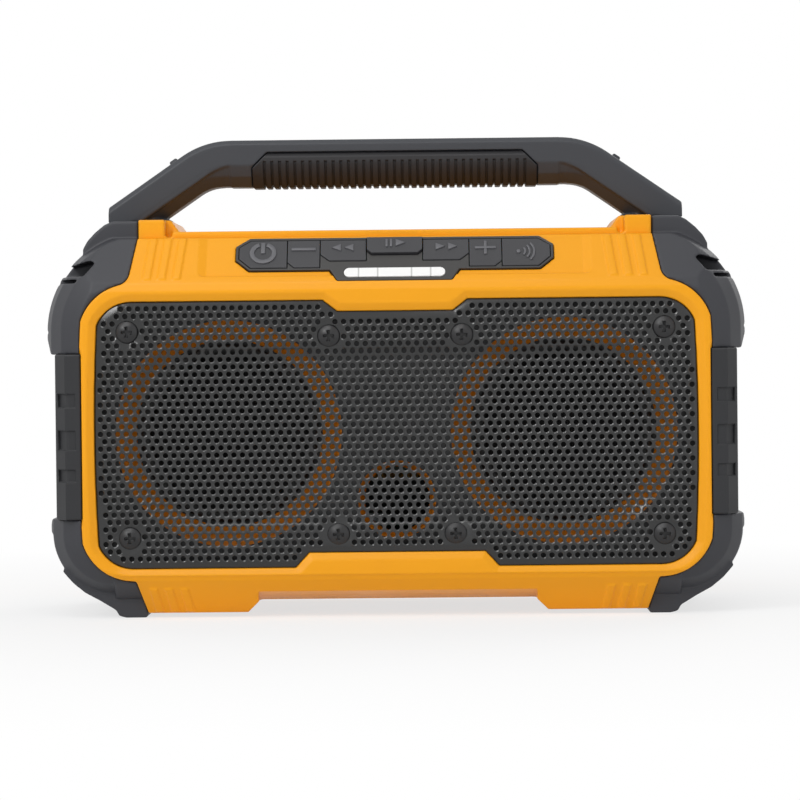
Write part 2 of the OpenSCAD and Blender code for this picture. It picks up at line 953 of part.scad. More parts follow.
module bass_port_tube() {
    color("#1A1A1C")
        driver_axis(0, port_z)
            difference() {
                translate([0, 0, -y_baffle_back - port_len])
                    cylinder(h = port_len, r = port_r + 4.7);
                translate([0, 0, -y_baffle_back - port_len - 1])
                    cylinder(h = port_len + 2, r = port_r + 2.7);
            }
}

// End bumpers, drawn for the right end
module lobe_outline(t = 0) {
    intersection() {
        translate([60, lobe_z0])
            square([bumper_half - 60 - t, lobe_top - lobe_z0 - t]);
        union() {
            translate([60, 0])
                square([bumper_half - 60 - bumper_r, 300]);
            translate([60, 0])
                square([200, lobe_round_z]);
            translate([bumper_half - bumper_r, lobe_round_z])
                circle(bumper_r - t);
        }
        polygon([
            [60, lobe_z0], [web_half + 6 - t, lobe_z0], [bumper_half - t, lobe_mid],
            [bumper_half + 5, 300], [60, 300]
        ]);
    }
}

module low_lobe_outline(t = 0) {
    intersection() {
        translate([60, low_z0 + t])
            square([low_half - 60 - t, low_lobe_z1 - low_z0 - t]);
        union() {
            translate([60, low_z0])
                square([low_half - 60 - low_r, 200]);
            translate([60, low_z0 + low_r])
                square([200, 200]);
            translate([low_half - low_r, low_z0 + low_r])
                circle(low_r - t);
        }
        polygon([
            [60, 0], [bumper_half + 5, 0], [low_half - t, grip_z0 - 3], [low_half - 2 - t, low_lobe_z1],
            [60, low_lobe_z1]
        ]);
    }
}

module bumper_outline(t = 0) {
    lobe_outline(t);
    low_lobe_outline(t);
    translate([100, low_lobe_z1 - 1])
        square([web_half - 100 - t, lobe_z0 - low_lobe_z1 + 2]);
}

module bumper_profile(t = 0) {
    k = slope_run / slope_rise;
    y0 = y_bumper + t;
    polygon([
        [y0, frame_bottom + 4], [y0, frame_top - 4], [y0 + lip, frame_top + 0.6],
        [y0 + lip + k * slope_rise, z_slope + 0.6], [-y0 - lip - k * slope_rise, z_slope + 0.6],
        [-y0 - lip, frame_top + 0.6], [-y0, frame_top - 4], [-y0, frame_bottom + 4],
        [-y0 - lip - 1, frame_bottom - 1], [-y0 - under_run, low_z0], [-y0 - under_run, -5],
        [y0 + under_run, -5], [y0 + under_run, low_z0], [y0 + lip + 1, frame_bottom - 1]
    ]);
}

module bumper_plan(t = 0) {
    y0 = y_bumper + t;
    x1 = bumper_half - t;
    polygon([
        [60, y0], [x1 - 16.5, y0], [x1 - 8.5, y0 + 5], [x1 - 3, y0 + 13], [x1, y0 + 25],
        [x1, -y0 - 25], [x1 - 3, -y0 - 13], [x1 - 8.5, -y0 - 5], [x1 - 16.5, -y0], [60, -y0]
    ]);
}

module shoulder_outline() {
    z1 = z_block - shoulder_drop;
    polygon([
        [seam_top + 0.2, frame_top], [seam_top + 0.2, z1], [seam_top + 12, z1], [seam_top + 15.6, z1 - 1.6],
        [seam_top + 20, z1 - 5.2], [seam_top + 23.3, z1 - 8.8], [seam_top + 25.3, z1 - 12.4],
        [seam_top + 25.3, frame_top]
    ]);
}

// Space turned about a lobe's own centre, so that the plan's soft edge runs round its corner
module lobe_turn(r, set = 0) {
    y0 = y_bumper;
    rotate([90, 0, 0])
        rotate_extrude()
            polygon([
                [0, y0], [r - 16.5 + set, y0], [r - 8.5 + set, y0 + 5], [r - 3 + set, y0 + 13],
                [r, y0 + 25], [r, -y0 - 25], [r - 3 + set, -y0 - 13], [r - 8.5 + set, -y0 - 5],
                [r - 16.5 + set, -y0], [0, -y0]
            ]);
}

module bumper_mass() {
    intersection() {
        along_y(y_bumper, -y_bumper)
            bumper_outline();
        along_x(60, wide)
            bumper_profile();
        along_z(-10, 400)
            bumper_plan();
        union() {
            translate([bumper_half - bumper_r, 0, lobe_round_z])
                lobe_turn(bumper_r);
            translate([low_half - low_r, 0, low_z0 + low_r])
                lobe_turn(low_r, bumper_half - low_half);
            translate([0, -wide, 0])
                cube([low_half - low_r, 2 * wide, lobe_round_z]);
            translate([0, -wide, lobe_round_z - 1])
                cube([bumper_half - bumper_r, 2 * wide, wide]);
            translate([0, -wide, low_z0 + low_r])
                cube([wide, 2 * wide, lobe_round_z - low_z0 - low_r]);
        }
    }
    along_y(y_joint + 2, -y_joint - 2)
        shoulder_outline();
    for (s = [-1, 1])
        translate([0, s * 37, 0])
            along_y(-12, 12)
                polygon([
                    [seam_low + 0.4, low_z0 + 2], [seam_low + 0.4, 0.8], [seam_low + 1.2, 0],
                    [seam_low + 10.5, 0], [seam_low + 13.3, 0.8], [seam_low + 14.8, 3.4],
                    [seam_low + 21.9, 7.7], [seam_low + 28.4, 11.2], [seam_low + 33.8, 15.6],
                    [seam_low + 38.5, 21], [seam_low + 36, 24], [seam_low + 20, low_z0 + 2]
                ]);
}

// Grooves that frame the pad on a lobe between two angles
module lobe_grooves(r, low, high) {
    for (a = [low, high])
        rotate([0, -a, 0])
            translate([r - 1.1, y_joint, -0.6])
                cube([20, -2 * y_joint, 1.2]);
    front_and_rear()
        translate([0, y_joint, 0])
            rotate([90, -low, 0])
                rotate_extrude(angle = high - low)
                    translate([r - 1.1, -1.2])
                        square([20, 1.2]);
}

// Slots that run into a shoulder's rounded edge, from just behind the front face
module shoulder_slots() {
    translate([bumper_half, 0, frame_top])
        front_and_rear() {
            along_y(y_bumper + 4.6, y_joint + 14)
                polygon([[-23.4, 9.4], [-21.6, 10.6], [3, 4.7], [3, 3.6], [-18.8, 3.6]]);
            along_y(y_bumper + 6, y_joint + 4)
                polygon([[-16.2, 2.2], [3, 2.2], [3, 0.6], [-14.9, 0.6]]);
        }
}

module bumper_hollow() {
    difference() {
        intersection() {
            along_y(y_bumper + 14, -y_bumper - 14)
                bumper_outline(bumper_wall);
            along_z(-10, 400)
                bumper_plan(bumper_wall);
            along_x(frame_half - 24, wide)
                translate([-wide, frame_bottom + 4])
                    square([2 * wide, frame_top - frame_bottom - 6]);
        }
        for (p = bumper_spots, s = [-1, 1])
            rod_x(s * p[0], p[1], 5, 60, 200);
    }
}

module bumper() {
    color("#232528")
        difference() {
            bumper_mass();
            along_y(-wide, wide)
                case_outline(0.15);
            bumper_hollow();
            along_z(grip_z0 - gap, grip_z1 + gap)
                difference() {
                    translate([frame_half - 10, -wide])
                        square([100, 2 * wide]);
                    grip_core();
                }
            for (p = bumper_spots, s = [-1, 1])
                rod_x(s * p[0], p[1], 1.4, 60, frame_half + 7.5);
            shoulder_slots();
            translate([bumper_half - bumper_r, 0, lobe_round_z])
                lobe_grooves(bumper_r, 0, 29);
            translate([low_half - low_r, 0, low_z0 + low_r])
                lobe_grooves(low_r, -46, -1);
        }
}

module right_bumper() {
    bumper();
}

module left_bumper() {
    mirror([1, 0, 0])
        bumper();
}

// Side grips, drawn for the right end
module grip_plan(t = 0) {
    y0 = y_front + 0.6 + t;
    polygon([
        [frame_half - 6, y0], [grip_out - 5 - t, y0], [grip_out - t, y0 + 6], [grip_out - t, -y0 - 6],
        [grip_out - 5 - t, -y0], [frame_half - 6, -y0]
    ]);
}

// Core of the bumper that a side grip wraps
module grip_core(grow = 0) {
    y0 = y_front + grip_wrap - grow;
    translate([60, y0])
        square([web_half - 60 + grow, -2 * y0]);
}

module side_grip() {
    h = grip_z1 - grip_z0;
    color("#1C1E20")
        difference() {
            along_z(grip_z0, grip_z1)
                grip_plan();
            for (b = [[0.72, 3], [0.48, 4.3], [0.266, 2.7]])
                along_z(grip_z0 + h * b[0] - b[1], grip_z0 + h * b[0] + b[1])
                    difference() {
                        translate([frame_half + 1.6, -wide])
                            square([grip_out - 1.4 - frame_half - 1.6, 2 * wide]);
                        grip_plan(0.8);
                    }
            along_y(-wide, wide)
                translate([60, 0])
                    square([frame_half - grip_hook + gap - 60, 300]);
            along_y(y_front + grip_wrap - 1 - gap, -y_front - grip_wrap + 1 + gap)
                case_outline(gap);
            along_z(grip_z0 - 1, grip_z1 + 1)
                grip_core(gap);
        }
}

// Notch in the frame's edge for a side grip's hook, drawn for the right end
module hook_notch() {
    front_and_rear()
        translate([frame_half - grip_hook, y_front - 1, grip_z0 - gap])
            cube([20, grip_wrap, grip_z1 - grip_z0 + 2 * gap]);
}

module right_side_grip() {
    side_grip();
}

module left_side_grip() {
    mirror([1, 0, 0])
        side_grip();
}

// Handle section: radius from the bend's centre, then depth
function handle_points(t, cap) = [
    [handle_bend_r + handle_t - cap, handle_d / 2 - 2 - t],
    [handle_bend_r + handle_t - 2 - cap, handle_d / 2 - t],
    [handle_bend_r + handle_t * 0.46, handle_d / 2 - t],
    [handle_bend_r + handle_t * 0.21 + t * 0.5, handle_d / 2 - 2.5 - t],
    [handle_bend_r + t, handle_d * 0.24 - t * 0.6],
    [handle_bend_r + t, -handle_d * 0.24 + t * 0.6],
    [handle_bend_r + handle_t * 0.21 + t * 0.5, -handle_d / 2 + 2.5 + t],
    [handle_bend_r + handle_t * 0.46, -handle_d / 2 + t],
    [handle_bend_r + handle_t - 2 - cap, -handle_d / 2 + t],
    [handle_bend_r + handle_t - cap, -handle_d / 2 + 2 + t]
];

// Outer and inner halves of the section, which bend about centres of their own
function outer_half() = [
    [handle_bend_r + handle_t, handle_d / 2 - 2], [handle_bend_r + handle_t - 2, handle_d / 2],
    [handle_bend_r + handle_t * 0.46, handle_d / 2], [handle_bend_r + handle_t * 0.46, -handle_d / 2],
    [handle_bend_r + handle_t - 2, -handle_d / 2], [handle_bend_r + handle_t, -handle_d / 2 + 2]
];

function inner_half() = [
    [handle_bend_r + handle_t * 0.6, handle_d / 2 - 0.2],
    [handle_bend_r + handle_t * 0.45, handle_d / 2 - 0.2],
    [handle_bend_r + handle_t * 0.22, handle_d / 2 - 2.7], [handle_bend_r + 0.2, handle_d * 0.24 - 0.2],
    [handle_bend_r + 0.2, 0.2 - handle_d * 0.24], [handle_bend_r + handle_t * 0.22, 2.7 - handle_d / 2],
    [handle_bend_r + handle_t * 0.45, 0.2 - handle_d / 2],
    [handle_bend_r + handle_t * 0.6, 0.2 - handle_d / 2]
];

// Band of the section that carries a leg's front face further in
function face_band() = [
    [handle_bend_r + handle_t - 5, handle_d / 2 - 0.1],
    [handle_bend_r + handle_t * 0.48, handle_d / 2 - 0.1],
    [handle_bend_r + handle_t * 0.48, 0.1 - handle_d / 2],
    [handle_bend_r + handle_t - 5, 0.1 - handle_d / 2]
];

// Straight run of the section, from the left bend toward +X
module handle_run(x0, x1, t = 0, cap = 0) {
    translate([x0, 0, bend_z])
        rotate([90, 0, 0])
            rotate([0, 0, 90])
                rotate([90, 0, 0])
                    linear_extrude(x1 - x0)
                        polygon(handle_points(t, cap));
}

// Bend and leg made from a half of the section
module handle_leg(x, half) {
    translate([x, 0, bend_z])
        rotate([90, 0, 0])
            rotate([0, 0, 90 - handle_fall]) {
                rotate_extrude(angle = handle_fall)
                    polygon(half);
                rotate([90, 0, 0])
                    linear_extrude(90)
                        polygon(half);
            }
}

module handle_side() {
    intersection() {
        union() {
            handle_leg(handle_bend_x, outer_half());
            handle_leg(handle_bend_x + leg_set, inner_half());
            handle_leg(handle_bend_x - face_set, face_band());
            translate([handle_bend_x - 3, 0, bend_z])
                rotate([90, 0, 90])
                    linear_extrude(leg_set + 3.3)
                        polygon([for (p = inner_half()) [p[1] * 0.985, p[0] + 0.12]]);
        }
        translate([0, -50, z_foot])
            cube([foot_out, 100, 100]);
    }
    translate([tenon_x0, -tenon_half, tenon_z0])
        cube([tenon_x1 - tenon_x0, 2 * tenon_half, z_foot - tenon_z0 + 1.5]);
    translate([handle_bend_x, 0, bend_z])
        rotate([90, 0, 0])
            rotate([0, 0, 90 - handle_fall])
                translate([handle_bend_r + handle_t - 3, -7, -4])
                    cube([5, 4, 8]);
}

// Space beyond the slanted upper corner of the soft grip, drawn for the right end
module grip_corner(set = 0) {
    translate([grip_half + set, 0, handle_top - 12.8 + set])
        rotate([0, 45, 0])
            translate([-30, -wide, 0])
                cube([60, 2 * wide, 40]);
}

module handle_frame() {
    color("#26282B")
        difference() {
            union() {
                handle_run(-handle_bend_x, handle_bend_x);
                both_sides()
                    handle_side();
            }
            difference() {
                handle_run(-grip_half - gap, grip_half + gap, -5, 5.5);
                handle_run(-wide, wide, 2 + gap, -3);
                both_sides()
                    grip_corner(gap);
            }
            both_sides()
                for (s = [-1, 1])
                    translate([(tenon_x0 + tenon_x1) / 2, s * 6, tenon_z0 - 1])
                        cylinder(h = 14, r = handle_pilot);
        }
}

module handle_grip() {
    n = floor((grip_half - 4) / slot_pitch);
    color("#191A1C")
        difference() {
            handle_run(-grip_half, grip_half, -0.6, 5.8);
            handle_run(-wide, wide, 2, -5);
            both_sides()
                grip_corner();
            for (k = [-n:n])
                difference() {
                    translate([k * slot_pitch - 0.5, -50, bend_z])
                        cube([1, 100, handle_bend_r + handle_t * 0.53]);
                    handle_run(-wide, wide, 0.5, -5);
                }
        }
}

// Control panel, keys and board
module control_panel() {
    color("#2B2D30")
        slope_layer(panel_floor, panel_top)
            difference() {
                panel_outline();
                keys_outline(gap);
                light_outline(0.15);
            }
}

module light_bar_lens() {
    color("#F4F4F0")
        slope_layer(panel_floor, panel_top + 0.3)
            light_outline();
}

module power_key() {
    color("#202225")
        mirror([1, 0, 0])
            key_body((volume_u + end_u) / 2, key_v0, 0)
                end_key_outline();
}

module volume_down_key() {
    color("#202225")
        mirror([1, 0, 0])
            key_body((skip_u + volume_u) / 2, key_v0, 0)
                volume_outline();
}

module previous_key() {
    color("#202225")
        mirror([1, 0, 0])
            key_body((play_half + skip_u) / 2, key_v0 + 3.8, 0)
                skip_outline();
}

module play_key() {
    color("#202225")
        key_body(0, key_v0 + 7.2, play_rise)
            play_outline();
}

module next_key() {
    color("#202225")
        key_body((play_half + skip_u) / 2, key_v0 + 3.8, 0)
            skip_outline();
}

module volume_up_key() {
    color("#202225")
        key_body((skip_u + volume_u) / 2, key_v0, 0)
            volume_outline();
}

module pairing_key() {
    color("#202225")
        key_body((volume_u + end_u) / 2, key_v0, 0)
            end_key_outline();
}

switch_spots = [
    [0, key_v0 + 7.2], [(play_half + skip_u) / 2, key_v0 + 3.8], [-(play_half + skip_u) / 2, key_v0 + 3.8],
    [(skip_u + volume_u) / 2, key_v0], [-(skip_u + volume_u) / 2, key_v0],
    [(volume_u + end_u) / 2, key_v0], [-(volume_u + end_u) / 2, key_v0]
];

module key_switches() {
    color("#3A3C3F")
        on_slope()
            for (p = switch_spots)
                translate([p[0], (p[1] + key_v1) / 2, board_top]) {
                    translate([-3, -3, 0])
                        cube([6, 6, 1]);
                    cylinder(h = switch_top - board_top, r = 1.6);
                }
}

module control_board() {
    color("#1F6B45")
        on_slope()
            difference() {
                translate([-post_u - 3, 9, board_top - board_t])
                    cube([2 * post_u + 6, 15.5, board_t]);
                for (s = [-1, 1])
                    translate([s * post_u, 16.5, board_top - 5])
                        cylinder(h = 9, r = 1.4);
            }
}

// Drivers, drawn on their own axis
module basket() {
    color("#2A2C2F") {
        difference() {
            rotate_extrude()
                polygon([
                    [edge_r + 6, seat - 1], [throat_r + 3, seat - 1], [throat_r + 3, seat],
                    [flange_r, seat], [flange_r, seat - 2.2], [throat_r + 2, seat - 2.2],
                    [31.5, motor_z], [10.6, motor_z], [10.6, motor_z + 2], [22, motor_z + 2],
                    [22, motor_z + 7], [25.6, motor_z + 7], [25.6, motor_z + 2], [30.2, motor_z + 2],
                    [edge_r + 6, seat - 4.2]
                ]);
            for (a = [45:90:315])
                rotate([0, 0, a]) {
                    translate([26.5, -9, motor_z + 6])
                        cube([40, 18, 12]);
                    translate([screw_ring_r, 0, seat - 10])
                        cylinder(h = 20, r = 1.6);
                }
        }
        translate([-42, -4, motor_z + 7])
            cube([8, 8, 5]);
    }
}

module magnet() {
    color("#33343A")
        difference() {
            translate([0, 0, motor_z - 13])
                cylinder(h = 13, r = 29);
            translate([0, 0, motor_z - 14])
                cylinder(h = 15, r = 14);
        }
}

module yoke() {
    color("#8A8D92") {
        translate([0, 0, motor_z - 17])
            cylinder(h = 4, r = 27);
        translate([0, 0, motor_z - 14])
            cylinder(h = 16, r = neck_r - 1.4);
    }
}

module voice_coil() {
    color("#B5722F")
        difference() {
            translate([0, 0, motor_z - 6])
                cylinder(h = 19, r = neck_r - 0.1);
            translate([0, 0, motor_z - 7])
                cylinder(h = 21, r = neck_r - 0.7);
        }
}

module cone() {
    color("#151617")
        rotate_extrude()
            polygon([
                [neck_r - 0.1, motor_z + 12.2], [neck_r - 0.1, motor_z + 11], [edge_r, seat - 2],
                [edge_r, seat - 0.8]
            ]);
}

module dust_cap() {
    color("#101112")
        translate([0, 0, motor_z + 2.4])
            rotate_extrude()
                intersection() {
                    difference() {
                        circle(16.4);
                        circle(15.6);
                    }
                    translate([0, 11.1])
                        square([40, 40]);
                }
}

module surround() {
    m = edge_r + 0.2 + roll_r;
    color("#121314")
        rotate_extrude() {
            intersection() {
                translate([m, seat - 1])
                    difference() {
                        circle(roll_r);
                        circle(roll_r - 0.6);
                    }
                translate([0, seat - 1])
                    square([100, 40]);
            }
            translate([m + roll_r - 0.6, seat - 1])
                square([throat_r + 2.7 - m - roll_r + 0.6, 0.6]);
        }
}

module spider() {
    color("#C9A25B")
        difference() {
            translate([0, 0, motor_z + 7])
                cylinder(h = 0.8, r = 25.4);
            translate([0, 0, motor_z + 6])
                cylinder(h = 3, r = neck_r + 0.05);
        }
}

module right_driver() {
    driver_axis(driver_x, driver_z)
        children();
}

module left_driver() {
    mirror([1, 0, 0])
        driver_axis(driver_x, driver_z)
            children();
}

module left_basket() {
    left_driver()
        basket();
}

module right_basket() {
    right_driver()
        basket();
}

module left_magnet() {
    left_driver()
        magnet();
}

module right_magnet() {
    right_driver()
        magnet();
}

module left_yoke() {
    left_driver()
        yoke();
}

module right_yoke() {
    right_driver()
        yoke();
}

module left_surround() {
    left_driver()
        surround();
}

module right_surround() {
    right_driver()
        surround();
}

module left_spider() {
    left_driver()
        spider();
}

module right_spider() {
    right_driver()
        spider();
}

module left_cone() {
    left_driver()
        cone();
}

module right_cone() {
    right_driver()
        cone();
}

module left_dust_cap() {
    left_driver()
        dust_cap();
}

module right_dust_cap() {
    right_driver()
        dust_cap();
}

module left_voice_coil() {
    left_driver()
        voice_coil();
}

module right_voice_coil() {
    right_driver()
        voice_coil();
}

// A screw with its head below z = 0 and its shank upward
module plain_screw(r, len, head, head_h) {
    translate([0, 0, -head_h])
        cylinder(h = head_h, r = head);
    translate([0, 0, -0.5])
        cylinder(h = len + 0.5, r = r);
}

module driver_screws() {
    color("#9A9DA1")
        both_sides()
            driver_axis(driver_x, driver_z)
                for (a = [45:90:315])
                    rotate([0, 0, a])
                        translate([screw_ring_r, 0, seat - 2.2])
                            plain_screw(1.2, 6, 2.6, 1.8);
}

// Boards, cells and sockets
module main_board() {
    color("#1F6B45")
        difference() {
            along_y(board_y - 1.6, board_y)
                translate([-board_half, board_z0])
                    square([2 * board_half, board_z1 - board_z0]);
            for (s = [-1, 1], z = [board_z0 + 5, board_z1 - 5])
                rod_y(s * (board_half - 6), z, 1.6, board_y - 5, board_y + 5);
        }
}

module heat_sink() {
    color("#A8ABB0")
        translate([-30, board_y - 13.6, board_z1 - 36]) {
            translate([0, 9, 0])
                cube([60, 3, 28]);
            for (k = [0:7])
                translate([k * 8.2, 0, 0])
                    cube([2.4, 10, 28]);
        }
}

module wireless_module() {
    color("#3E5A78")
        translate([34, board_y - 4, board_z1 - 40])
            cube([14, 2.4, 20]);
}

module capacitors() {
    color("#30343C")
        for (k = [0:2])
            rod_y(-20 + 12 * k, board_z0 + 14, 5, board_y - 13.6, board_y - 1.6);
}

module battery_tray() {
    x1 = cell_len + 9;
    y1 = 2 * cell_r + 2.2;
    z0 = belly_gap + arch_rise + wall + 0.4;
    color("#2B2D30")
        difference() {
            translate([-x1, cell_y - y1, z0])
                cube([2 * x1, 2 * y1, 15]);
            translate([-cell_len - 1.5, cell_y - y1 + 1.8, z0 + 1.7])
                cube([2 * cell_len + 3, 2 * y1 - 3.6, 40]);
            for (s = [-1, 1]) {
                translate([s * (cell_len + 3), cell_y, z0 - 1])
                    cylinder(h = 40, r = 1.6);
                translate([s * (cell_len + 3), cell_y, z0 + 2])
                    cylinder(h = 40, r = 3.4);
            }
        }
}

module battery_cells() {
    color("#3C6EA8")
        for (s = [-1, 1], t = [-1, 1])
            translate([s * (cell_len / 2 + 0.5), cell_y + t * (cell_r + 0.2), cell_z])
                rotate([0, 90, 0])
                    translate([0, 0, -cell_len / 2])
                        cylinder(h = cell_len, r = cell_r);
}

// Rear port bay, a cup that sits in the back wall and carries the sockets
module bay_outline(grow = 0) {
    translate([-bay_half - grow, bay_z - grow])
        square([2 * bay_half + 2 * grow, bay_h + 2 * grow]);
}

module finger_notch() {
    rod_y(0, bay_z1, 6, y_back - 2, y_back + 1);
}

module port_bay() {
    color("#1C1E20")
        difference() {
            union() {
                along_y(bay_y - bay_wall, y_back)
                    bay_outline(bay_wall);
                along_y(y_back - wall_back - 2, y_back - wall_back)
                    difference() {
                        bay_outline(bay_wall + 3);
                        translate([-wide, bay_z - bay_wall - 10])
                            square([2 * wide, 10]);
                    }
                both_sides()
                    translate([18, bay_y - 20, port_board_z - 4.6])
                        cube([6, 20, 3]);
            }
            along_y(bay_y, y_back + 1)
                bay_outline();
            along_x(-bay_half, bay_half)
                polygon([
                    [y_back - 1.6, bay_z + 0.01], [y_back - 1.6, bay_z], [y_back, bay_z - 2],
                    [y_back + 1, bay_z - 2], [y_back + 1, bay_z + 0.01]
                ]);
            finger_notch();
            rod_x(hinge_y, hinge_z, pin_r + 0.05, -bay_half - 2, bay_half + 2);
            along_y(bay_y - 4, bay_y + 1)
                socket_outline(gap);
            rod_y(12, port_board_z + 4, 3.6 + gap, bay_y - 4, bay_y + 1);
        }
}

module port_board() {
    color("#1F6B45")
        translate([-26, bay_y - 22.5, port_board_z - 1.6])
            cube([52, 19.5, 1.6]);
}

module charge_socket() {
    color("#B9BCC0") {
        difference() {
            along_y(bay_y - 8.5, bay_y)
                translate([0, 0.1])
                    socket_outline();
            along_y(bay_y - 7.2, bay_y + 1)
                translate([0, 0.1])
                    socket_outline(-0.35);
        }
        translate([-12 - 3.3, bay_y - 7.5, port_board_z + 1.45])
            cube([6.6, 6.2, 0.7]);
        translate([-12 - 3, bay_y - 8.5, port_board_z])
            cube([6, 4, 0.7]);
    }
}

module audio_jack() {
    color("#17181A")
        difference() {
            translate([8.4, jack_end - 17.5, port_board_z])
                cube([7.2, 17.5, 7.6]);
            rod_y(12, port_board_z + 4, jack_r, jack_end - 15, jack_end + 1);
        }
}

// Port door and its pin
module port_door() {
    color("#1C1E20")
        difference() {
            union() {
                along_y(y_back - door_t, y_back)
                    translate([-bay_half + slide, hinge_z])
                        square([2 * bay_half - 2 * slide, bay_z1 - slide - hinge_z]);
                rod_x(hinge_y, hinge_z, knuckle_r, -bay_half + slide, bay_half - slide);
            }
            rod_x(hinge_y, hinge_z, pin_r + 0.15, -bay_half - 1, bay_half + 1);
        }
}

module port_door_pin() {
    color("#B0B3B7")
        rod_x(hinge_y, hinge_z, pin_r, -bay_half - 1.8, bay_half + 1.8);
}

// Remaining fasteners
module case_screws() {
    color("#9A9DA1")
        both_sides()
            for (p = case_spots)
                translate([p[0], case_seat, p[1]])
                    rotate([90, 0, 0])
                        plain_screw(1.4, 18, 3.6, 2.6);
}

module handle_screws() {
    color("#9A9DA1")
        both_sides()
            for (s = [-1, 1])
                translate([(tenon_x0 + tenon_x1) / 2, s * 6, socket_floor])
                    plain_screw(1.4, 14, 3.4, 2.2);
}

module board_screws() {
    color("#9A9DA1") {
        for (s = [-1, 1], z = [board_z0 + 5, board_z1 - 5])
            translate([s * (board_half - 6), board_y - 1.6, z])
                rotate([-90, 0, 0])
                    plain_screw(1.1, 6, 2.6, 1.6);
        for (s = [-1, 1])
            translate([s * (cell_len + 3), cell_y, belly_gap + arch_rise + wall + 2.4])
                rotate([180, 0, 0])
                    plain_screw(1.1, 6, 2.6, 1.6);
        on_slope()
            for (s = [-1, 1])
                translate([s * post_u, 16.5, board_top - board_t])
                    plain_screw(1, 5, 2, 1.4);
    }
}

module bumper_screws() {
    color("#9A9DA1")
        both_sides()
            for (p = bumper_spots, s = [-1, 1])
                translate([pad_x, s * p[0], p[1]])
                    rotate([0, 90, 0])
                        plain_screw(1.3, 14, 3.2, 2);
}

// Leads, a run of straight lengths with round bends
module lead(points, r) {
    for (k = [0:len(points) - 2]) {
        d = points[k + 1] - points[k];
        run = norm(d);
        translate(points[k])
            rotate([0, acos(d[2] / run), atan2(d[1], d[0])])
                cylinder(h = run, r = r);
    }
    for (k = [1:len(points) - 2])
        translate(points[k])
            sphere(r * 1.06);
}

module speaker_lead() {
    y0 = -(motor_z + 9.5);
    lead([
        [driver_x - 42.05, y0, driver_z], [driver_x - 46, y0, driver_z], [driver_x - 46, 20, board_z0 + 10],
        [driver_x - 46, board_y - 1.65, board_z0 + 10]
    ], 1.2);
}

module right_speaker_lead() {
    color("#8E2A24")
        speaker_lead();
}

module left_speaker_lead() {
    color("#8E2A24")
        mirror([1, 0, 0])
            speaker_lead();
}

module battery_lead() {
    z0 = belly_gap + arch_rise + wall + 15.45;
    color("#8E2A24")
        lead([
            [-cell_len - 7, cell_y + 8, z0], [-cell_len - 7, cell_y + 8, board_z0 - 4],
            [18 - board_half, board_y - 8, board_z0 + 5], [18 - board_half, board_y - 1.65, board_z0 + 5]
        ], 1.2);
}

front_shell();
rear_shell();
shell_gasket();
front_grille();
grille_screws();
baffle_cover();
bass_port_tube();
left_bumper();
right_bumper();
left_side_grip();
right_side_grip();
handle_frame();
handle_grip();
control_panel();
light_bar_lens();
power_key();
volume_down_key();
previous_key();
play_key();
next_key();
volume_up_key();
pairing_key();
control_board();
key_switches();
left_basket();
right_basket();
left_magnet();
right_magnet();
left_yoke();
right_yoke();
left_surround();
right_surround();
left_spider();
right_spider();
left_cone();
right_cone();
left_dust_cap();
right_dust_cap();
left_voice_coil();
right_voice_coil();
driver_screws();
main_board();
heat_sink();
wireless_module();
capacitors();
battery_tray();
battery_cells();
port_bay();
port_board();
charge_socket();
audio_jack();
port_door();
port_door_pin();
case_screws();
handle_screws();
board_screws();
bumper_screws();
left_speaker_lead();
right_speaker_lead();
battery_lead();
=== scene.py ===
# %% [markdown]
# # A rugged portable speaker
# The object is a carry-about wireless speaker: an orange moulded case, black rubber ends, a fixed
# handle and a perforated steel grille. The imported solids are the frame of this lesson. They are in
# metres, with the front facing -Y, and every piece made here sits where its solid is. Sizes are
# written in millimetres, and MM turns them to metres.

# %% Load the frame
import json
import math

import bmesh
import bpy
from mathutils import Matrix, Vector
from mathutils.bvhtree import BVHTree


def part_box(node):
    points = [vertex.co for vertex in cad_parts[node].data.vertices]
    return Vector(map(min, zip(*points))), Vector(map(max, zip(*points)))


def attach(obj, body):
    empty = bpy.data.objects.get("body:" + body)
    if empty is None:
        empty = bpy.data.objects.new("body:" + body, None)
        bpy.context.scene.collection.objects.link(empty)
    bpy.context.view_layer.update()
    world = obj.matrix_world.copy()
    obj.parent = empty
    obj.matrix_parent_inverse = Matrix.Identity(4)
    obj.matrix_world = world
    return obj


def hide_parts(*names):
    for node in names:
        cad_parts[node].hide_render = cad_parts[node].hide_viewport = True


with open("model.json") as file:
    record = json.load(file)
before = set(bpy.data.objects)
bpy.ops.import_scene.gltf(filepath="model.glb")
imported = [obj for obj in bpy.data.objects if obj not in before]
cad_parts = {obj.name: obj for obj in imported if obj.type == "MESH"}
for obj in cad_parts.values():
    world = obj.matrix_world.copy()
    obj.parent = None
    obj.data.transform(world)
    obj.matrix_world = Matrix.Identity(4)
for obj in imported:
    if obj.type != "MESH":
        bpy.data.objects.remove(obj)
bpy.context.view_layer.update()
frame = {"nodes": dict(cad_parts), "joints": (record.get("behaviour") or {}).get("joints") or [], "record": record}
MM = 0.001
SLOT_OF = {part["node"]: part["material_slot"] for part in frame["record"]["subparts"]}
BODY_OF = {node: body for body, nodes in frame["record"]["behaviour"]["bodies"].items() for node in nodes}

# %% [markdown]
# ## Camera
# The speaker is seen from straight in front, from about a metre and a half away, with the camera
# turned a little. A long lens keeps that flat perspective. The camera is aimed at a point on the
# grille, and its three axes are written out, because a plain aim could not hold the small roll.

# %% Aim the camera
PICTURE_PX = 800
SENSOR_MM = 36
# Scale of the picture at the grille, and the camera's distance and target in mm
PX_PER_MM = 2.2585
VIEW_DISTANCE = 1400
AIM = Vector((1.83, -60, 96.25))
ELEVATION, AZIMUTH, ROLL = (math.radians(a) for a in (0.85, -0.59, -0.605))

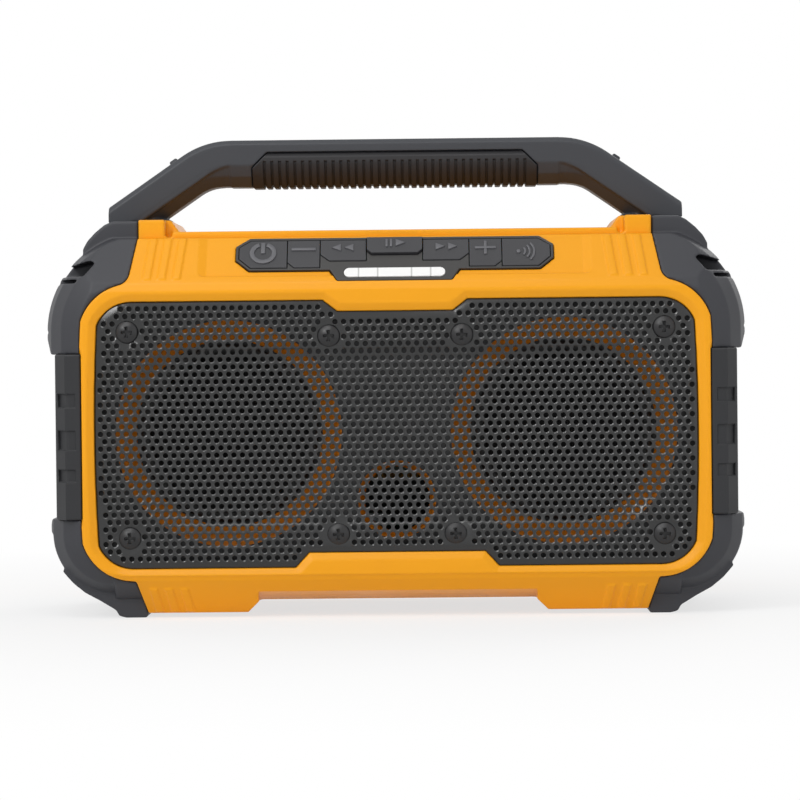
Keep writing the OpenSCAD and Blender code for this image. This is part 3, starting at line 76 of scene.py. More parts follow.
forward = Vector((
    math.sin(AZIMUTH) * math.cos(ELEVATION),
    math.cos(AZIMUTH) * math.cos(ELEVATION),
    -math.sin(ELEVATION),
))
level = forward.cross(Vector((0, 0, 1))).normalized()
upright = level.cross(forward)
right = level * math.cos(ROLL) + upright * math.sin(ROLL)
up = upright * math.cos(ROLL) - level * math.sin(ROLL)

camera_data = bpy.data.cameras.new("camera")
camera_data.sensor_width = SENSOR_MM
camera_data.lens = SENSOR_MM * PX_PER_MM * VIEW_DISTANCE / PICTURE_PX
camera = bpy.data.objects.new("camera", camera_data)
bpy.context.scene.collection.objects.link(camera)
turned = Matrix((right, up, -forward)).transposed().to_4x4()
camera.matrix_world = Matrix.Translation((AIM - forward * VIEW_DISTANCE) * MM) @ turned
bpy.context.scene.camera = camera
bpy.context.scene.view_settings.view_transform = "Standard"
print("lens", round(camera_data.lens, 1), "mm")

# %% [markdown]
# ## Materials
# A material starts from its colour in sRGB, as a paint chart gives it. Blender works in linear light,
# so one function converts it. Another function adds any shader node, sets it and links it.

# %% Colour and node helpers
def colour(code):
    parts = [int(code[i:i + 2], 16) / 255 for i in (1, 3, 5)]
    return tuple(c / 12.92 if c <= 0.04045 else ((c + 0.055) / 1.055) ** 2.4 for c in parts) + (1,)


def add_node(tree, kind, inputs=None, **settings):
    node = tree.nodes.new(kind)
    for key, value in settings.items():
        setattr(node, key, value)
    for socket, value in (inputs or {}).items():
        if isinstance(value, bpy.types.NodeSocket):
            tree.links.new(value, node.inputs[socket])
        else:
            node.inputs[socket].default_value = value
    return node


def new_material(name):
    material = bpy.data.materials.new(name)
    material.use_nodes = True
    tree = material.node_tree
    place = add_node(tree, "ShaderNodeTexCoord").outputs["Object"]
    return material, tree, tree.nodes["Principled BSDF"], place


def per_metre(size_mm):
    return 1 / (size_mm * MM)


# %% Moulded plastics and rubbers
# Moulded grain is about 0.2 mm wide, too fine to show here, so it is drawn at 0.5 to 0.9 mm
CLOUD_MM = 45
GLOSS_SWING = 0.06
BUMP_STRENGTH = 0.6


def moulded(name, code, shade_code, rough, grain_mm, grain_depth, specular=0.5, metallic=0.0):
    """A skin with fine grain in the bump, and faint clouds in its colour and gloss. Sizes are in mm."""
    material, tree, shader, place = new_material(name)
    cloud = add_node(tree, "ShaderNodeTexNoise", {"Vector": place, "Scale": per_metre(CLOUD_MM), "Detail": 3})
    share = cloud.outputs["Fac"]
    tint = add_node(tree, "ShaderNodeMix", {0: share, 6: colour(code), 7: colour(shade_code)},
                    data_type="RGBA")
    duller, glossier = rough + GLOSS_SWING, rough - GLOSS_SWING
    gloss = add_node(tree, "ShaderNodeMapRange", {"Value": share, "From Min": 0.3, "From Max": 0.7,
                                                  "To Min": glossier, "To Max": duller})
    grain = add_node(tree, "ShaderNodeTexNoise", {"Vector": place, "Scale": per_metre(grain_mm), "Detail": 2})
    bump = add_node(tree, "ShaderNodeBump", {"Strength": BUMP_STRENGTH, "Distance": grain_depth * MM,
                                             "Height": grain.outputs["Fac"]})
    tree.links.new(tint.outputs[2], shader.inputs["Base Color"])
    tree.links.new(gloss.outputs["Result"], shader.inputs["Roughness"])
    tree.links.new(bump.outputs["Normal"], shader.inputs["Normal"])
    shader.inputs["Specular IOR Level"].default_value = specular
    shader.inputs["Metallic"].default_value = metallic
    return material


FINISH = {
    # Satin orange ABS: the colour of the whole case, with faint clouds of a paler orange
    "orange_shell": moulded("orange_abs", "#F0A00C", "#F3A512", 0.4, 0.9, 0.03, 0.3),
    # Soft matt rubber of the ends: cool black with a broad pale sheen
    "bumper_rubber": moulded("black_tpe", "#2C2D32", "#333439", 0.55, 0.8, 0.04),
    # Glass-filled nylon of the handle: a touch paler than the rubber
    "handle_plastic": moulded("charcoal_nylon", "#2E3035", "#35373C", 0.5, 0.9, 0.04),
    # Grip sleeve: a blacker, duller rubber than the ends
    "grip_rubber": moulded("black_grip_rubber", "#19181B", "#1F1E21", 0.6, 0.8, 0.03),
    # Panel and keys: two close charcoals, the keys a little duller
    "panel_plastic": moulded("charcoal_abs", "#2A2928", "#302F2E", 0.5, 0.8, 0.03),
    "key_rubber": moulded("charcoal_silicone", "#2E2E31", "#343437", 0.55, 0.8, 0.03),
    # Cover sheet, bass tube, battery tray, port bay, jack and door: plain black ABS with a low gloss
    "black_moulding": moulded("black_abs", "#19191B", "#1E1E20", 0.45, 0.8, 0.03),
    # Seal between the shells: dull black rubber
    "gasket": moulded("black_epdm", "#141415", "#19191A", 0.75, 0.8, 0.03, 0.3),
    # Powder coat on the grille: near black, with gloss enough to draw the lip of each hole
    "grille_steel": moulded("black_powder_coat", "#0C0D0E", "#111213", 0.24, 0.7, 0.01, 0.65),
    # Oxide on the grille's screws: black, with a soft sheen on the heads
    "black_screw": moulded("black_oxide_steel", "#161618", "#1B1B1D", 0.42, 0.7, 0.02),
    # Solder mask on the boards: glossy green lacquer
    "circuit_board": moulded("green_solder_mask", "#1F6B45", "#256F4A", 0.3, 0.9, 0.01),
    # Switches and other small parts on the boards: smooth and dark
    "switch_plastic": moulded("dark_switch_nylon", "#2F3236", "#35383C", 0.4, 0.9, 0.02),
    # Stove enamel on the driver baskets: smooth and black
    "driver_steel": moulded("black_stove_enamel", "#1D1E20", "#222326", 0.35, 0.9, 0.02),
    # Sintered ferrite of the magnets: rough dark ceramic
    "magnet_ferrite": moulded("sintered_ferrite", "#2B2B2F", "#333337", 0.6, 0.6, 0.05),
    # Zinc plate on yokes, screws, socket and hinge pin: bright pale metal
    "plated_steel": moulded("zinc_plated_steel", "#B4B6BA", "#BCBEC2", 0.3, 0.8, 0.01, metallic=1.0),
    # Paper pulp of the cones: matt black with a rough grain
    "cone_paper": moulded("black_paper_pulp", "#121213", "#171718", 0.8, 0.5, 0.06, 0.3),
    # Butyl roll round each cone: smooth black rubber
    "surround_rubber": moulded("black_butyl", "#101011", "#151516", 0.5, 0.9, 0.02),
    # Varnished cloth of the spiders: dull amber
    "spider_cloth": moulded("varnished_cloth", "#B98F45", "#C2984F", 0.7, 0.6, 0.06),
    # Enamelled wire of the voice coils: copper with a fine grain
    "copper_coil": moulded("enamelled_copper", "#B5672F", "#BD7038", 0.3, 0.5, 0.04, metallic=1.0),
    # Extruded aluminium of the heat sink: pale satin metal
    "heat_sink_aluminium": moulded("extruded_aluminium", "#C6C8CB", "#CDCFD1", 0.35, 0.6, 0.02, metallic=1.0),
    # Shrink wrap on the cells: glossy blue film
    "cell_wrap": moulded("blue_shrink_wrap", "#38609B", "#3F68A3", 0.3, 0.9, 0.01),
    # PVC on the leads: smooth dark red
    "lead_insulation": moulded("red_pvc", "#8E2A22", "#962F27", 0.4, 0.9, 0.01),
}
print(len(FINISH), "plain finishes")

# %% [markdown]
# ## Orange behind the grille
# The case shows twice: bright in the frame, and where its flares are seen through the grille's holes,
# painted a deeper, redder orange as painted shade for the shadow behind the grille. A second material
# would need the shell cut in two, so the one material tells the two places apart by their coordinates.

# %% Painted shade: deeper orange in the room behind the grille
# Middle and half width, in mm along each axis, of the room that the grille covers, where the shade is painted
SHADED_ROOM = (("X", 0, 133), ("Y", -44, 14), ("Z", 82, 58))

tree = FINISH["orange_shell"].node_tree
base = tree.nodes["Principled BSDF"].inputs["Base Color"]
place = add_node(tree, "ShaderNodeTexCoord").outputs["Object"]
at = add_node(tree, "ShaderNodeSeparateXYZ", {"Vector": place})
shade_mask = 1.0
for axis, centre, reach in SHADED_ROOM:
    near = add_node(tree, "ShaderNodeMath", {0: at.outputs[axis], 1: centre * MM, 2: reach * MM},
                    operation="COMPARE")
    both = add_node(tree, "ShaderNodeMath", {0: shade_mask, 1: near.outputs[0]}, operation="MULTIPLY")
    shade_mask = both.outputs[0]
# Painted shade: the flares behind the grille take a deeper, redder orange for the shadow they lie in
painted_shade = add_node(tree, "ShaderNodeMix", {0: shade_mask, 6: base.links[0].from_socket, 7: colour("#DA7E18")},
                data_type="RGBA")
tree.links.new(painted_shade.outputs[2], base)
print("flares tinted")

# %% [markdown]
# ## Light bar
# The bar under the play key is opal acrylic: an even white that glows a little, with faint grey lines where
# the lamps behind it part. The lines lie inside the plastic, so they are drawn in its colour and not in its
# shape.

# %% Opal acrylic
# Places of the lines to each side of the middle, and half their width, in mm
LINES_AT = (7.5, 16)
LINE_HALF = 0.35

material, tree, shader, place = new_material("opal_acrylic")
across = add_node(tree, "ShaderNodeSeparateXYZ", {"Vector": place}).outputs["X"]
side = add_node(tree, "ShaderNodeMath", {0: across}, operation="ABSOLUTE").outputs[0]
near, far = (add_node(tree, "ShaderNodeMath", {0: side, 1: x * MM, 2: LINE_HALF * MM}, operation="COMPARE")
             for x in LINES_AT)
line = add_node(tree, "ShaderNodeMath", {0: near.outputs[0], 1: far.outputs[0]}, operation="MAXIMUM")
tint = add_node(tree, "ShaderNodeMix", {0: line.outputs[0], 6: colour("#EFEFEE"), 7: colour("#C4C4C2")},
                data_type="RGBA")
tree.links.new(tint.outputs[2], shader.inputs["Base Color"])
tree.links.new(tint.outputs[2], shader.inputs["Emission Color"])
shader.inputs["Emission Strength"].default_value = 0.05
shader.inputs["Roughness"].default_value = 0.25
FINISH["light_diffuser"] = material

# %% Finishes on the solids
for node, obj in frame["nodes"].items():
    obj.data.materials.clear()
    obj.data.materials.append(FINISH[SLOT_OF[node]])
print(len(FINISH), "finishes on", len(frame["nodes"]), "nodes")

# %% [markdown]
# ## Mouldings with soft edges
# A moulded case has no knife edges: the mould rounds each one by half a millimetre or so, and that round
# is what catches the light. The solids have sharp edges, so each visible moulding is a copy of its
# solid whose outer edges are rolled over. A single bevel width would tear where a groove is narrow,
# so each edge gets a bevel weight worked out from the room on the faces beside it.

# %% Copies of the solids
WELD_MM = 0.002
FLAT = math.radians(0.6)
# Past each end of an edge, this share of its length still counts as beside it
OVERHANG = 0.2


def merged_copy(node):
    bm = bmesh.new()
    bm.from_mesh(frame["nodes"][node].data)
    bmesh.ops.remove_doubles(bm, verts=bm.verts, dist=WELD_MM * MM)
    bmesh.ops.dissolve_limit(bm, angle_limit=FLAT, verts=bm.verts, edges=bm.edges)
    return bm


def room_beside(edge):
    """Least distance from an edge to the corners that face it across its two faces."""
    start, end = (v.co for v in edge.verts)
    length = (end - start).length
    if length < 1e-7:
        return 0
    along = (end - start) / length
    room = 1.0
    for face in edge.link_faces:
        for vert in face.verts:
            offset = vert.co - start
            t = offset.dot(along)
            if vert not in edge.verts and -OVERHANG * length <= t <= (1 + OVERHANG) * length:
                room = min(room, (offset - along * t).length)
    return room


def finish_piece(name, bm, slot, body, replaced=(), sharp=math.radians(35)):
    """Makes the mesh a piece with its finish, that rides on a body and stands for the nodes it replaces."""
    for face in bm.faces:
        face.smooth = True
    for edge in bm.edges:
        edge.smooth = not (len(edge.link_faces) == 2 and edge.calc_face_angle(0) > sharp)
    mesh = bpy.data.meshes.new(name)
    bm.to_mesh(mesh)
    bm.free()
    piece = bpy.data.objects.new(name, mesh)
    bpy.context.scene.collection.objects.link(piece)
    mesh.materials.append(FINISH[slot])
    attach(piece, body)
    if replaced:
        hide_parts(*replaced)
    return piece


# %% Rolled edges
# Least angle in degrees that counts as an edge, and the most of the room beside it that a roll takes up
ROLL_SHARP = 28
ROLL_SHARE = 0.42
ROLL_SEGMENTS = 3
# A ray from just off an edge asks whether the edge faces open air
PROBE_MM = 0.2
# A fillet in an inner corner of these two would stand in the door's way
HINGED = ("port_bay", "port_door")


def roll_edges(node, bm, radius):
    """Finishes a copy of a node with its outer edges rolled by up to the radius, in mm."""
    tree = BVHTree.FromBMesh(bm)
    weight = bm.edges.layers.float.new("bevel_weight_edge")
    count = 0
    for edge in bm.edges:
        if len(edge.link_faces) != 2 or math.degrees(edge.calc_face_angle(0)) < ROLL_SHARP:
            continue
        if node in HINGED and not edge.is_convex:
            continue
        outward = (edge.link_faces[0].normal + edge.link_faces[1].normal).normalized()
        middle = (edge.verts[0].co + edge.verts[1].co) / 2
        if tree.ray_cast(middle + outward * PROBE_MM * MM, outward, 1.0)[0] is None:
            edge[weight] = min(1, ROLL_SHARE * room_beside(edge) / (radius * MM))
            count += 1
    bmesh.ops.triangulate(bm, faces=[f for f in bm.faces if len(f.verts) > 4])
    piece = finish_piece(node + "_moulding", bm, SLOT_OF[node], BODY_OF[node], [node])
    bevel = piece.modifiers.new("rolled_edges", "BEVEL")
    bevel.limit_method = "WEIGHT"
    bevel.width = radius * MM
    bevel.segments = ROLL_SEGMENTS
    bevel.profile = 0.5
    bevel.use_clamp_overlap = False
    even = piece.modifiers.new("even_shading", "WEIGHTED_NORMAL")
    even.keep_sharp = True
    print(node, "rolled", count, "edges")
    return piece


# The play key's skirt is too thin for the other keys' round
ROLL_MM = {
    "handle_grip": 0.45, "port_bay": 0.4, "port_door": 0.25, "grille_screws": 0.3,
    "power_key": 0.4, "volume_down_key": 0.4, "previous_key": 0.4, "play_key": 0.2,
    "next_key": 0.4, "volume_up_key": 0.4, "pairing_key": 0.4,
}
for node, radius in ROLL_MM.items():
    roll_edges(node, merged_copy(node), radius)

# %% Side grips
# The bumpers' softened ends draw back a little, so each grip is stretched at both ends to meet them.
# The grips are a darker rubber than the bumpers.
STRETCH_MM = 0.35
GRIP_ROLL = 0.7

dark_rubber = moulded("dark_tpe", "#191A1D", "#1F2023", 0.58, 0.8, 0.04)
for node in ("left_side_grip", "right_side_grip"):
    low, high = (Vector(corner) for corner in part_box(node))
    grip = merged_copy(node)
    bmesh.ops.scale(grip, vec=(1, 1, 1 + 2 * STRETCH_MM * MM / (high.z - low.z)),
                    space=Matrix.Translation(-(low + high) / 2), verts=grip.verts)
    roll_edges(node, grip, GRIP_ROLL).data.materials[0] = dark_rubber

# %% [markdown]
# ## Large mouldings and rubber ends
# The shells, the handle and the rubber ends have broad rounds that run into each other, which a bevel
# can't follow. They are rebuilt from fine voxels instead, as if cast from sand, and the surface is then
# relaxed for a few rounds: every lip turns soft and every inner corner gets a fillet. Flat faces don't
# need so many points, so the mesh is thinned at the end, and the result is kept as a plain mesh.

# %% Soften by voxels
def soften(node, bm, voxel, rounds, keep):
    """Finishes a copy of a node: remeshed in voxels, in mm, relaxed, and thinned to a share of its faces."""
    piece = finish_piece(node + "_moulding", bm, SLOT_OF[node], BODY_OF[node], [node], math.pi)
    voxels = piece.modifiers.new("voxels", "REMESH")
    voxels.mode = "VOXEL"
    voxels.voxel_size = voxel * MM
    voxels.use_smooth_shade = True
    relax = piece.modifiers.new("relax", "SMOOTH")
    relax.factor = 0.5
    relax.iterations = rounds
    thin = piece.modifiers.new("thin", "DECIMATE")
    thin.ratio = keep
    rough = piece.data
    piece.data = bpy.data.meshes.new_from_object(piece.evaluated_get(bpy.context.evaluated_depsgraph_get()))
    piece.modifiers.clear()
    bpy.data.meshes.remove(rough)
    print(node, "softened to", len(piece.data.polygons), "faces")


# Voxel in mm, rounds of relaxing and share of faces that stays
SOFTENED = {
    "left_bumper": (0.55, 6, 0.15), "right_bumper": (0.55, 6, 0.15),
    "handle_frame": (0.5, 6, 0.2), "rear_shell": (0.7, 4, 0.13),
    "control_panel": (0.22, 3, 0.2), "light_bar_lens": (0.16, 3, 0.2),
}
for node, (voxel, rounds, keep) in SOFTENED.items():
    soften(node, merged_copy(node), voxel, rounds, keep)

# %% [markdown]
# ## Front frame
# Round the grille the orange frame falls away in a narrow slope, which makes the plate look set back.
# A bevel this wide would tear the frame's large face, so the slope is cut another way: the wall of the
# opening is split a little below its lip, and the lip is then moved outward by the slope's width.

# %% Front shell
# Width and depth of the slope in mm
LIP_MM, LIP_DEPTH = 3.3, 1.7
# A face whose normal leans less than this towards the front is a wall
WALL_LEAN = 0.3
# A sharp corner of the lip moves at most the slope's width over this
LEAST_COSINE = 0.4

front = merged_copy("front_shell")
face_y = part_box("front_shell")[0][1]
grille_low, grille_high = (Vector(corner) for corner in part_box("front_grille"))
middle = (grille_low + grille_high) / 2
walls, lips = set(), set()
for edge in front.edges:
    if len(edge.link_faces) != 2 or any(abs(v.co.y - face_y) > 0.02 * MM for v in edge.verts):
        continue
    wall = min(edge.link_faces, key=lambda f: abs(f.normal.y))
    centre = (edge.verts[0].co + edge.verts[1].co) / 2
    if abs(wall.normal.y) < WALL_LEAN and (middle - centre).dot(wall.normal) > 0:
        walls.add(wall)
        lips.update(edge.verts)
shift = {}
for vert in lips:
    normals = [f.normal for f in vert.link_faces if f in walls]
    outward = -sum(normals, Vector()).normalized()
    shift[vert] = outward * LIP_MM * MM / max(LEAST_COSINE, -outward.dot(normals[0]))
wall_parts = walls | {e for f in walls for e in f.edges} | {v for f in walls for v in f.verts}
bmesh.ops.bisect_plane(front, geom=list(wall_parts), dist=1e-7,
                       plane_co=(0, face_y + LIP_DEPTH * MM, 0), plane_no=(0, 1, 0))
for vert, offset in shift.items():
    vert.co += offset
front.normal_update()
print(len(lips), "lip corners moved")
soften("front_shell", front, 0.45, 2, 0.14)

# %% [markdown]
# ## Grille
# The grille is one sheet of steel, punched with staggered rows of small holes and pressed to a shallow
# dish. A texture would not let light through, so the holes are real. The sheet's rim is the solid's own
# section. One hexagonal cell with one hole is repeated in two directions, cells that would cross the
# rim or a screw are dropped, and the strip that is left is filled with plain sheet, as on a real plate.

# %% Rim of the sheet, cut from the solid
# Spacing of holes and rows, radius of a hole and of its rounded mouth, and thickness, in mm
PITCH, ROW, HOLE_R, MOUTH_R, SHEET = 3.8, 3.26, 1.22, 1.72, 1.0


def whole(bm):
    return bm.verts[:] + bm.edges[:] + bm.faces[:]


def verts_in(geom):
    return [item for item in geom if isinstance(item, bmesh.types.BMVert)]


sheet = merged_copy("front_grille")
grille_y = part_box("front_grille")[0][1]
cut = bmesh.ops.bisect_plane(sheet, geom=whole(sheet), dist=1e-7,
                             plane_co=(0, grille_y + SHEET / 2 * MM, 0), plane_no=(0, 1, 0))["geom_cut"]
cut_edges = [item for item in cut if isinstance(item, bmesh.types.BMEdge)]
loops = []
while cut_edges:
    edge = cut_edges.pop(0)
    loop, vert = [edge.verts[0]], edge.verts[1]
    while vert is not loop[0]:
        loop.append(vert)
        edge = next(e for e in vert.link_edges if e in cut_edges)
        cut_edges.remove(edge)
        vert = edge.other_vert(vert)
    loops.append(loop)
# The widest loop is the rim and the next the dish, and the rest are screw holes
loops.sort(key=lambda loop: max(v.co.x for v in loop) - min(v.co.x for v in loop), reverse=True)
flat_loops = [[Vector((v.co.x / MM, v.co.z / MM)) for v in loop] for loop in loops]
rim_points, dish_points = flat_loops[:2]
screw_spots = [sum(points, Vector((0, 0))) / len(points) for points in flat_loops[2:]]
kept = set(loops[0])
bmesh.ops.delete(sheet, geom=[v for v in sheet.verts if v not in kept], context="VERTS")
bmesh.ops.translate(sheet, vec=(0, -grille_y - SHEET / 2 * MM, 0), verts=sheet.verts)
bmesh.ops.scale(sheet, vec=(1 / MM, 1 / MM, 1 / MM), verts=sheet.verts)
felt = sheet.copy()
made = bmesh.ops.extrude_edge_only(sheet, edges=sheet.edges)["geom"]
bmesh.ops.translate(sheet, vec=(0, SHEET, 0), verts=verts_in(made))
print("rim of", len(rim_points), "points,", len(screw_spots), "screw holes")

# %% One punched cell
HOLE_SIDES = 10
MOUTH_DEPTH = 0.3


def edges_of(bm, verts):
    found = set(verts)
    return [e for e in bm.edges if e.verts[0] in found and e.verts[1] in found]


def flat_ring(bm, radius, segments, y):
    place = Matrix.Translation((0, y, 0)) @ Matrix.Rotation(math.pi / 2, 4, "X")
    return bmesh.ops.create_circle(bm, segments=segments, radius=radius, matrix=place)["verts"]


cells = bmesh.new()
stretch = ROW / (PITCH * math.sqrt(0.75))
hexagons = []
for y in (0, SHEET):
    hexagon = flat_ring(cells, PITCH / math.sqrt(3), 6, y)
    bmesh.ops.scale(cells, vec=(1, 1, stretch), verts=hexagon)
    hexagons.append(edges_of(cells, hexagon))
rings = [edges_of(cells, flat_ring(cells, MOUTH_R, HOLE_SIDES, 0))]
for growth, depth in ((HOLE_R / MOUTH_R, MOUTH_DEPTH), (1, SHEET - MOUTH_DEPTH)):
    ring = verts_in(bmesh.ops.extrude_edge_only(cells, edges=rings[-1])["geom"])
    bmesh.ops.scale(cells, vec=(growth, 1, growth), verts=ring)
    bmesh.ops.translate(cells, vec=(0, depth, 0), verts=ring)
    rings.append(edges_of(cells, ring))
bmesh.ops.triangle_fill(cells, edges=hexagons[0] + rings[0], use_beauty=True, normal=(0, -1, 0))
bmesh.ops.triangle_fill(cells, edges=hexagons[1] + rings[2], use_beauty=True, normal=(0, 1, 0))
print("one cell of", len(cells.faces), "faces")

# %% Rows of cells
# Room from the rim's top to the first row, and from a hole's centre to the rim and to a screw's
TOP_ROOM, RIM_ROOM, SCREW_ROOM = 3.1, 2.3, 6.4

columns = int(max(p.x for p in rim_points) / PITCH) + 1
top_row = max(p.y for p in rim_points) - TOP_ROOM
rows = int((top_row - min(p.y for p in rim_points)) / ROW) + 1
bmesh.ops.translate(cells, vec=(-columns * PITCH, 0, top_row), verts=cells.verts)
bmesh.ops.spin(cells, geom=whole(cells), cent=(0, 0, 0), axis=(0, 1, 0), angle=0, steps=2 * columns,
               dvec=(PITCH, 0, 0), use_duplicate=True)
odd_row = verts_in(bmesh.ops.duplicate(cells, geom=whole(cells))["geom"])
bmesh.ops.translate(cells, vec=(PITCH / 2, 0, -ROW), verts=odd_row)
bmesh.ops.spin(cells, geom=whole(cells), cent=(0, 0, 0), axis=(0, 1, 0), angle=0, steps=rows // 2,
               dvec=(0, 0, -2 * ROW), use_duplicate=True)
print("rows of cells:", rows)

# %% Drop the cells that cross the rim or a screw
rim_sides = list(zip(rim_points, rim_points[1:] + rim_points[:1]))


def to_segment(p, a, b):
    t = max(0, min(1, (p - a).dot(b - a) / max((b - a).length_squared, 1e-9)))
    return (p - a - (b - a) * t).length


def to_rim(p):
    return min(to_segment(p, a, b) for a, b in rim_sides)


def holds_a_cell(p):
    crossings = sum((a.y > p.y) != (b.y > p.y) and p.x < a.x + (p.y - a.y) / (b.y - a.y) * (b.x - a.x)
                    for a, b in rim_sides)
    clear_of_screws = min((p - spot).length for spot in screw_spots) > SCREW_ROOM
    return crossings % 2 == 1 and to_rim(p) > RIM_ROOM and clear_of_screws


def cell_centre(row, column):
    return Vector(((column - columns + (row % 2) / 2) * PITCH, top_row - row * ROW))


def cell_of(x, z):
    """Row and column of the cell that a point lies in: the one with the nearest centre."""
    row = (top_row - z) / ROW
    near = [(r, round(x / PITCH + columns - (r % 2) / 2)) for r in (math.floor(row), math.ceil(row))]
    return min(near, key=lambda cell: (cell_centre(*cell) - Vector((x, z))).length)


punched = {(row, column): holds_a_cell(cell_centre(row, column))
           for row in range(rows + 2) for column in range(2 * columns + 1)}
unwanted = []
for face in cells.faces:
    centre = face.calc_center_median()
    if not punched.get(cell_of(centre.x, centre.z)):
        unwanted.append(face)
bmesh.ops.delete(cells, geom=unwanted, context="FACES")
bmesh.ops.remove_doubles(cells, verts=cells.verts, dist=0.02)
print(sum(punched.values()), "holes")

# %% Join cells and rim
cell_mesh = bpy.data.meshes.new("cells")
cells.to_mesh(cell_mesh)
cells.free()
sheet.from_mesh(cell_mesh)
bpy.data.meshes.remove(cell_mesh)
for y in (0, SHEET):
    border = [e for e in sheet.edges
              if len(e.link_faces) == 1 and all(abs(v.co.y - y) < 0.01 for v in e.verts)]
    bmesh.ops.triangle_fill(sheet, edges=border, use_beauty=True, normal=(0, 1 if y else -1, 0))
print("flat sheet of", len(sheet.faces), "faces")

# %% Press the dish
DISH_DEPTH, DISH_R = 2.8, 20.0
# The dish's slope starts this far outside its outline and is this wide, in mm
SLOPE_START, SLOPE_WIDTH = 5, 9
# Height that the sheet springs forward, and how far from the rim it reaches that height
CROWN, CROWN_RUN = 1.2, 5
# Round a screw the sheet lies flat to the first distance, and springs over the second
SCREW_FLAT, SCREW_RUN = 5, 4
GRILLE_SHARP = math.radians(25)

dish_half = max(p.x for p in dish_points)
dish_low, dish_high = min(p.y for p in dish_points), max(p.y for p in dish_points)


def press(x, z):
    """Depth of the dish under a point: nothing at the rim, full in the middle, with a soft slope between."""
    dx = abs(x) - dish_half + DISH_R
    dz = abs(z - (dish_low + dish_high) / 2) - (dish_high - dish_low) / 2 + DISH_R
    outside = math.hypot(max(dx, 0), max(dz, 0)) + min(max(dx, dz), 0) - DISH_R
    t = max(0, min(1, (SLOPE_START - outside) / SLOPE_WIDTH))
    return DISH_DEPTH * t * t * (3 - 2 * t)


def crown(x, z):
    """Height of the sheet between its fixed rim and screws, where it springs forward a little."""
    if abs(x) < dish_half - CROWN_RUN and dish_low + CROWN_RUN < z < dish_high - CROWN_RUN:
        return CROWN
    p = Vector((x, z))
    free = to_rim(p) / CROWN_RUN
    for spot in screw_spots:
        free = min(free, ((p - spot).length - SCREW_FLAT) / SCREW_RUN)
    t = max(0, min(1, free))
    return CROWN * t * (2 - t)


def to_its_place(bm):
    """Turns a mesh in mm to metres, and sets its front at the grille's."""
    bmesh.ops.scale(bm, vec=(MM, MM, MM), verts=bm.verts)
    bmesh.ops.translate(bm, vec=(0, grille_y, 0), verts=bm.verts)
    bmesh.ops.recalc_face_normals(bm, faces=bm.faces)


for vert in sheet.verts:
    vert.co.y += press(vert.co.x, vert.co.z) - crown(vert.co.x, vert.co.z)
to_its_place(sheet)
print("grille of", len(sheet.faces), "faces")
finish_piece("punched_grille", sheet, "grille_steel", "case", ["front_grille"], GRILLE_SHARP)

# %% [markdown]
# ## Felt under the rim
# The plate's rim rests on a ledge of the shell. A strip of black felt lies between them to stop buzzing,
# and it is what shows through the outermost holes. It is the rim's own outline, filled and then inset.
# Only its blackness shows, so it shares the gasket's finish.

# %% Felt strip
FELT_WIDTH, FELT_THICK = 4.4, 0.2
# The strip closes the outermost holes, this far in front of the sheet's back
FELT_AHEAD = 0.3

bmesh.ops.contextual_create(felt, geom=felt.edges[:])
bmesh.ops.inset_region(felt, faces=felt.faces[:], thickness=FELT_WIDTH, use_even_offset=True,
                       use_boundary=True)
bmesh.ops.delete(felt, geom=[max(felt.faces, key=lambda f: f.calc_area())], context="FACES")
bmesh.ops.solidify(felt, geom=felt.faces[:], thickness=FELT_THICK)
bmesh.ops.translate(felt, vec=(0, SHEET - FELT_AHEAD, 0), verts=felt.verts)
to_its_place(felt)
finish_piece("grille_felt", felt, "gasket", "case")
print("felt strip")

# %% [markdown]
# ## Marks on the keys
# Each key is moulded in silicone and carries a raised mark about half a millimetre high. Raised marks are
# made as solids, because only a solid gives the thin bright and dark edges that let black be read on
# black. Each is drawn flat in millimetres, its edges are rolled, and then it is laid on its key's top
# face with the turn of the sloped panel.

# %% Strokes for the marks
# Thickness of a mark, of which a part is sunk in the key
MARK_H = 0.9
# Degrees of an arc that one step of the spin covers
ARC_STEP = 9
# Breadth of an arrow, as a share of an even-sided triangle's
ARROW_BREADTH = 0.82


def at_point(u, v):
    return Matrix.Translation((u, v, 0))


def stroke(bm, u, v, width, height):
    bmesh.ops.create_cube(bm, size=1, matrix=at_point(u, v) @ Matrix.Diagonal((width, height, MARK_H, 1)))


def arrow(bm, u, v, size, side):
    """A triangle that points to the right for a side of 1, and to the left for -1."""
    pointed = Matrix.Diagonal((-side, ARROW_BREADTH, 1, 1)) @ Matrix.Rotation(math.pi / 2, 4, "Z")
    bmesh.ops.create_cone(bm, cap_ends=True, segments=3, radius1=size, radius2=size, depth=MARK_H,
                          matrix=at_point(u, v) @ pointed)


def arc(bm, u, v, inner, outer, start, sweep):
    """A flat band turned about a centre, from the start angle through the sweep, in degrees."""
    place = at_point(u, v) @ Matrix.Rotation(math.radians(start), 4, "Z")
    place = place @ at_point((inner + outer) / 2, 0) @ Matrix.Rotation(math.pi / 2, 4, "X")
    profile = bmesh.ops.create_grid(bm, x_segments=1, y_segments=1, size=0.5,
                                    matrix=place @ Matrix.Diagonal((outer - inner, MARK_H, 1, 1)))["verts"]
    geom = profile + edges_of(bm, profile) + list({f for v in profile for f in v.link_faces})
    bmesh.ops.spin(bm, geom=geom, cent=(u, v, 0), axis=(0, 0, 1), angle=math.radians(sweep),
                   steps=max(6, round(abs(sweep) / ARC_STEP)), use_duplicate=False)


# %% The seven marks, drawn in mm from the middle of each key
def draw_power(bm):
    arc(bm, 0, 0.4, 3.9, 6.0, 110, 320)
    stroke(bm, 0, 3.2, 1.9, 6.1)


def draw_volume_down(bm):
    stroke(bm, 0, 2.4, 10.8, 1.5)


def draw_previous(bm):
    for u in (-2.4, 3.2):
        arrow(bm, u, 1.3, 2.8, -1)


def draw_play(bm):
    for u in (-3.5, -1.5):
        stroke(bm, u, 0.8, 1.1, 4.4)
    arrow(bm, 1.9, 0.8, 2.9, 1)


def draw_next(bm):
    for u in (-3.2, 2.4):
        arrow(bm, u, 1.4, 2.8, 1)


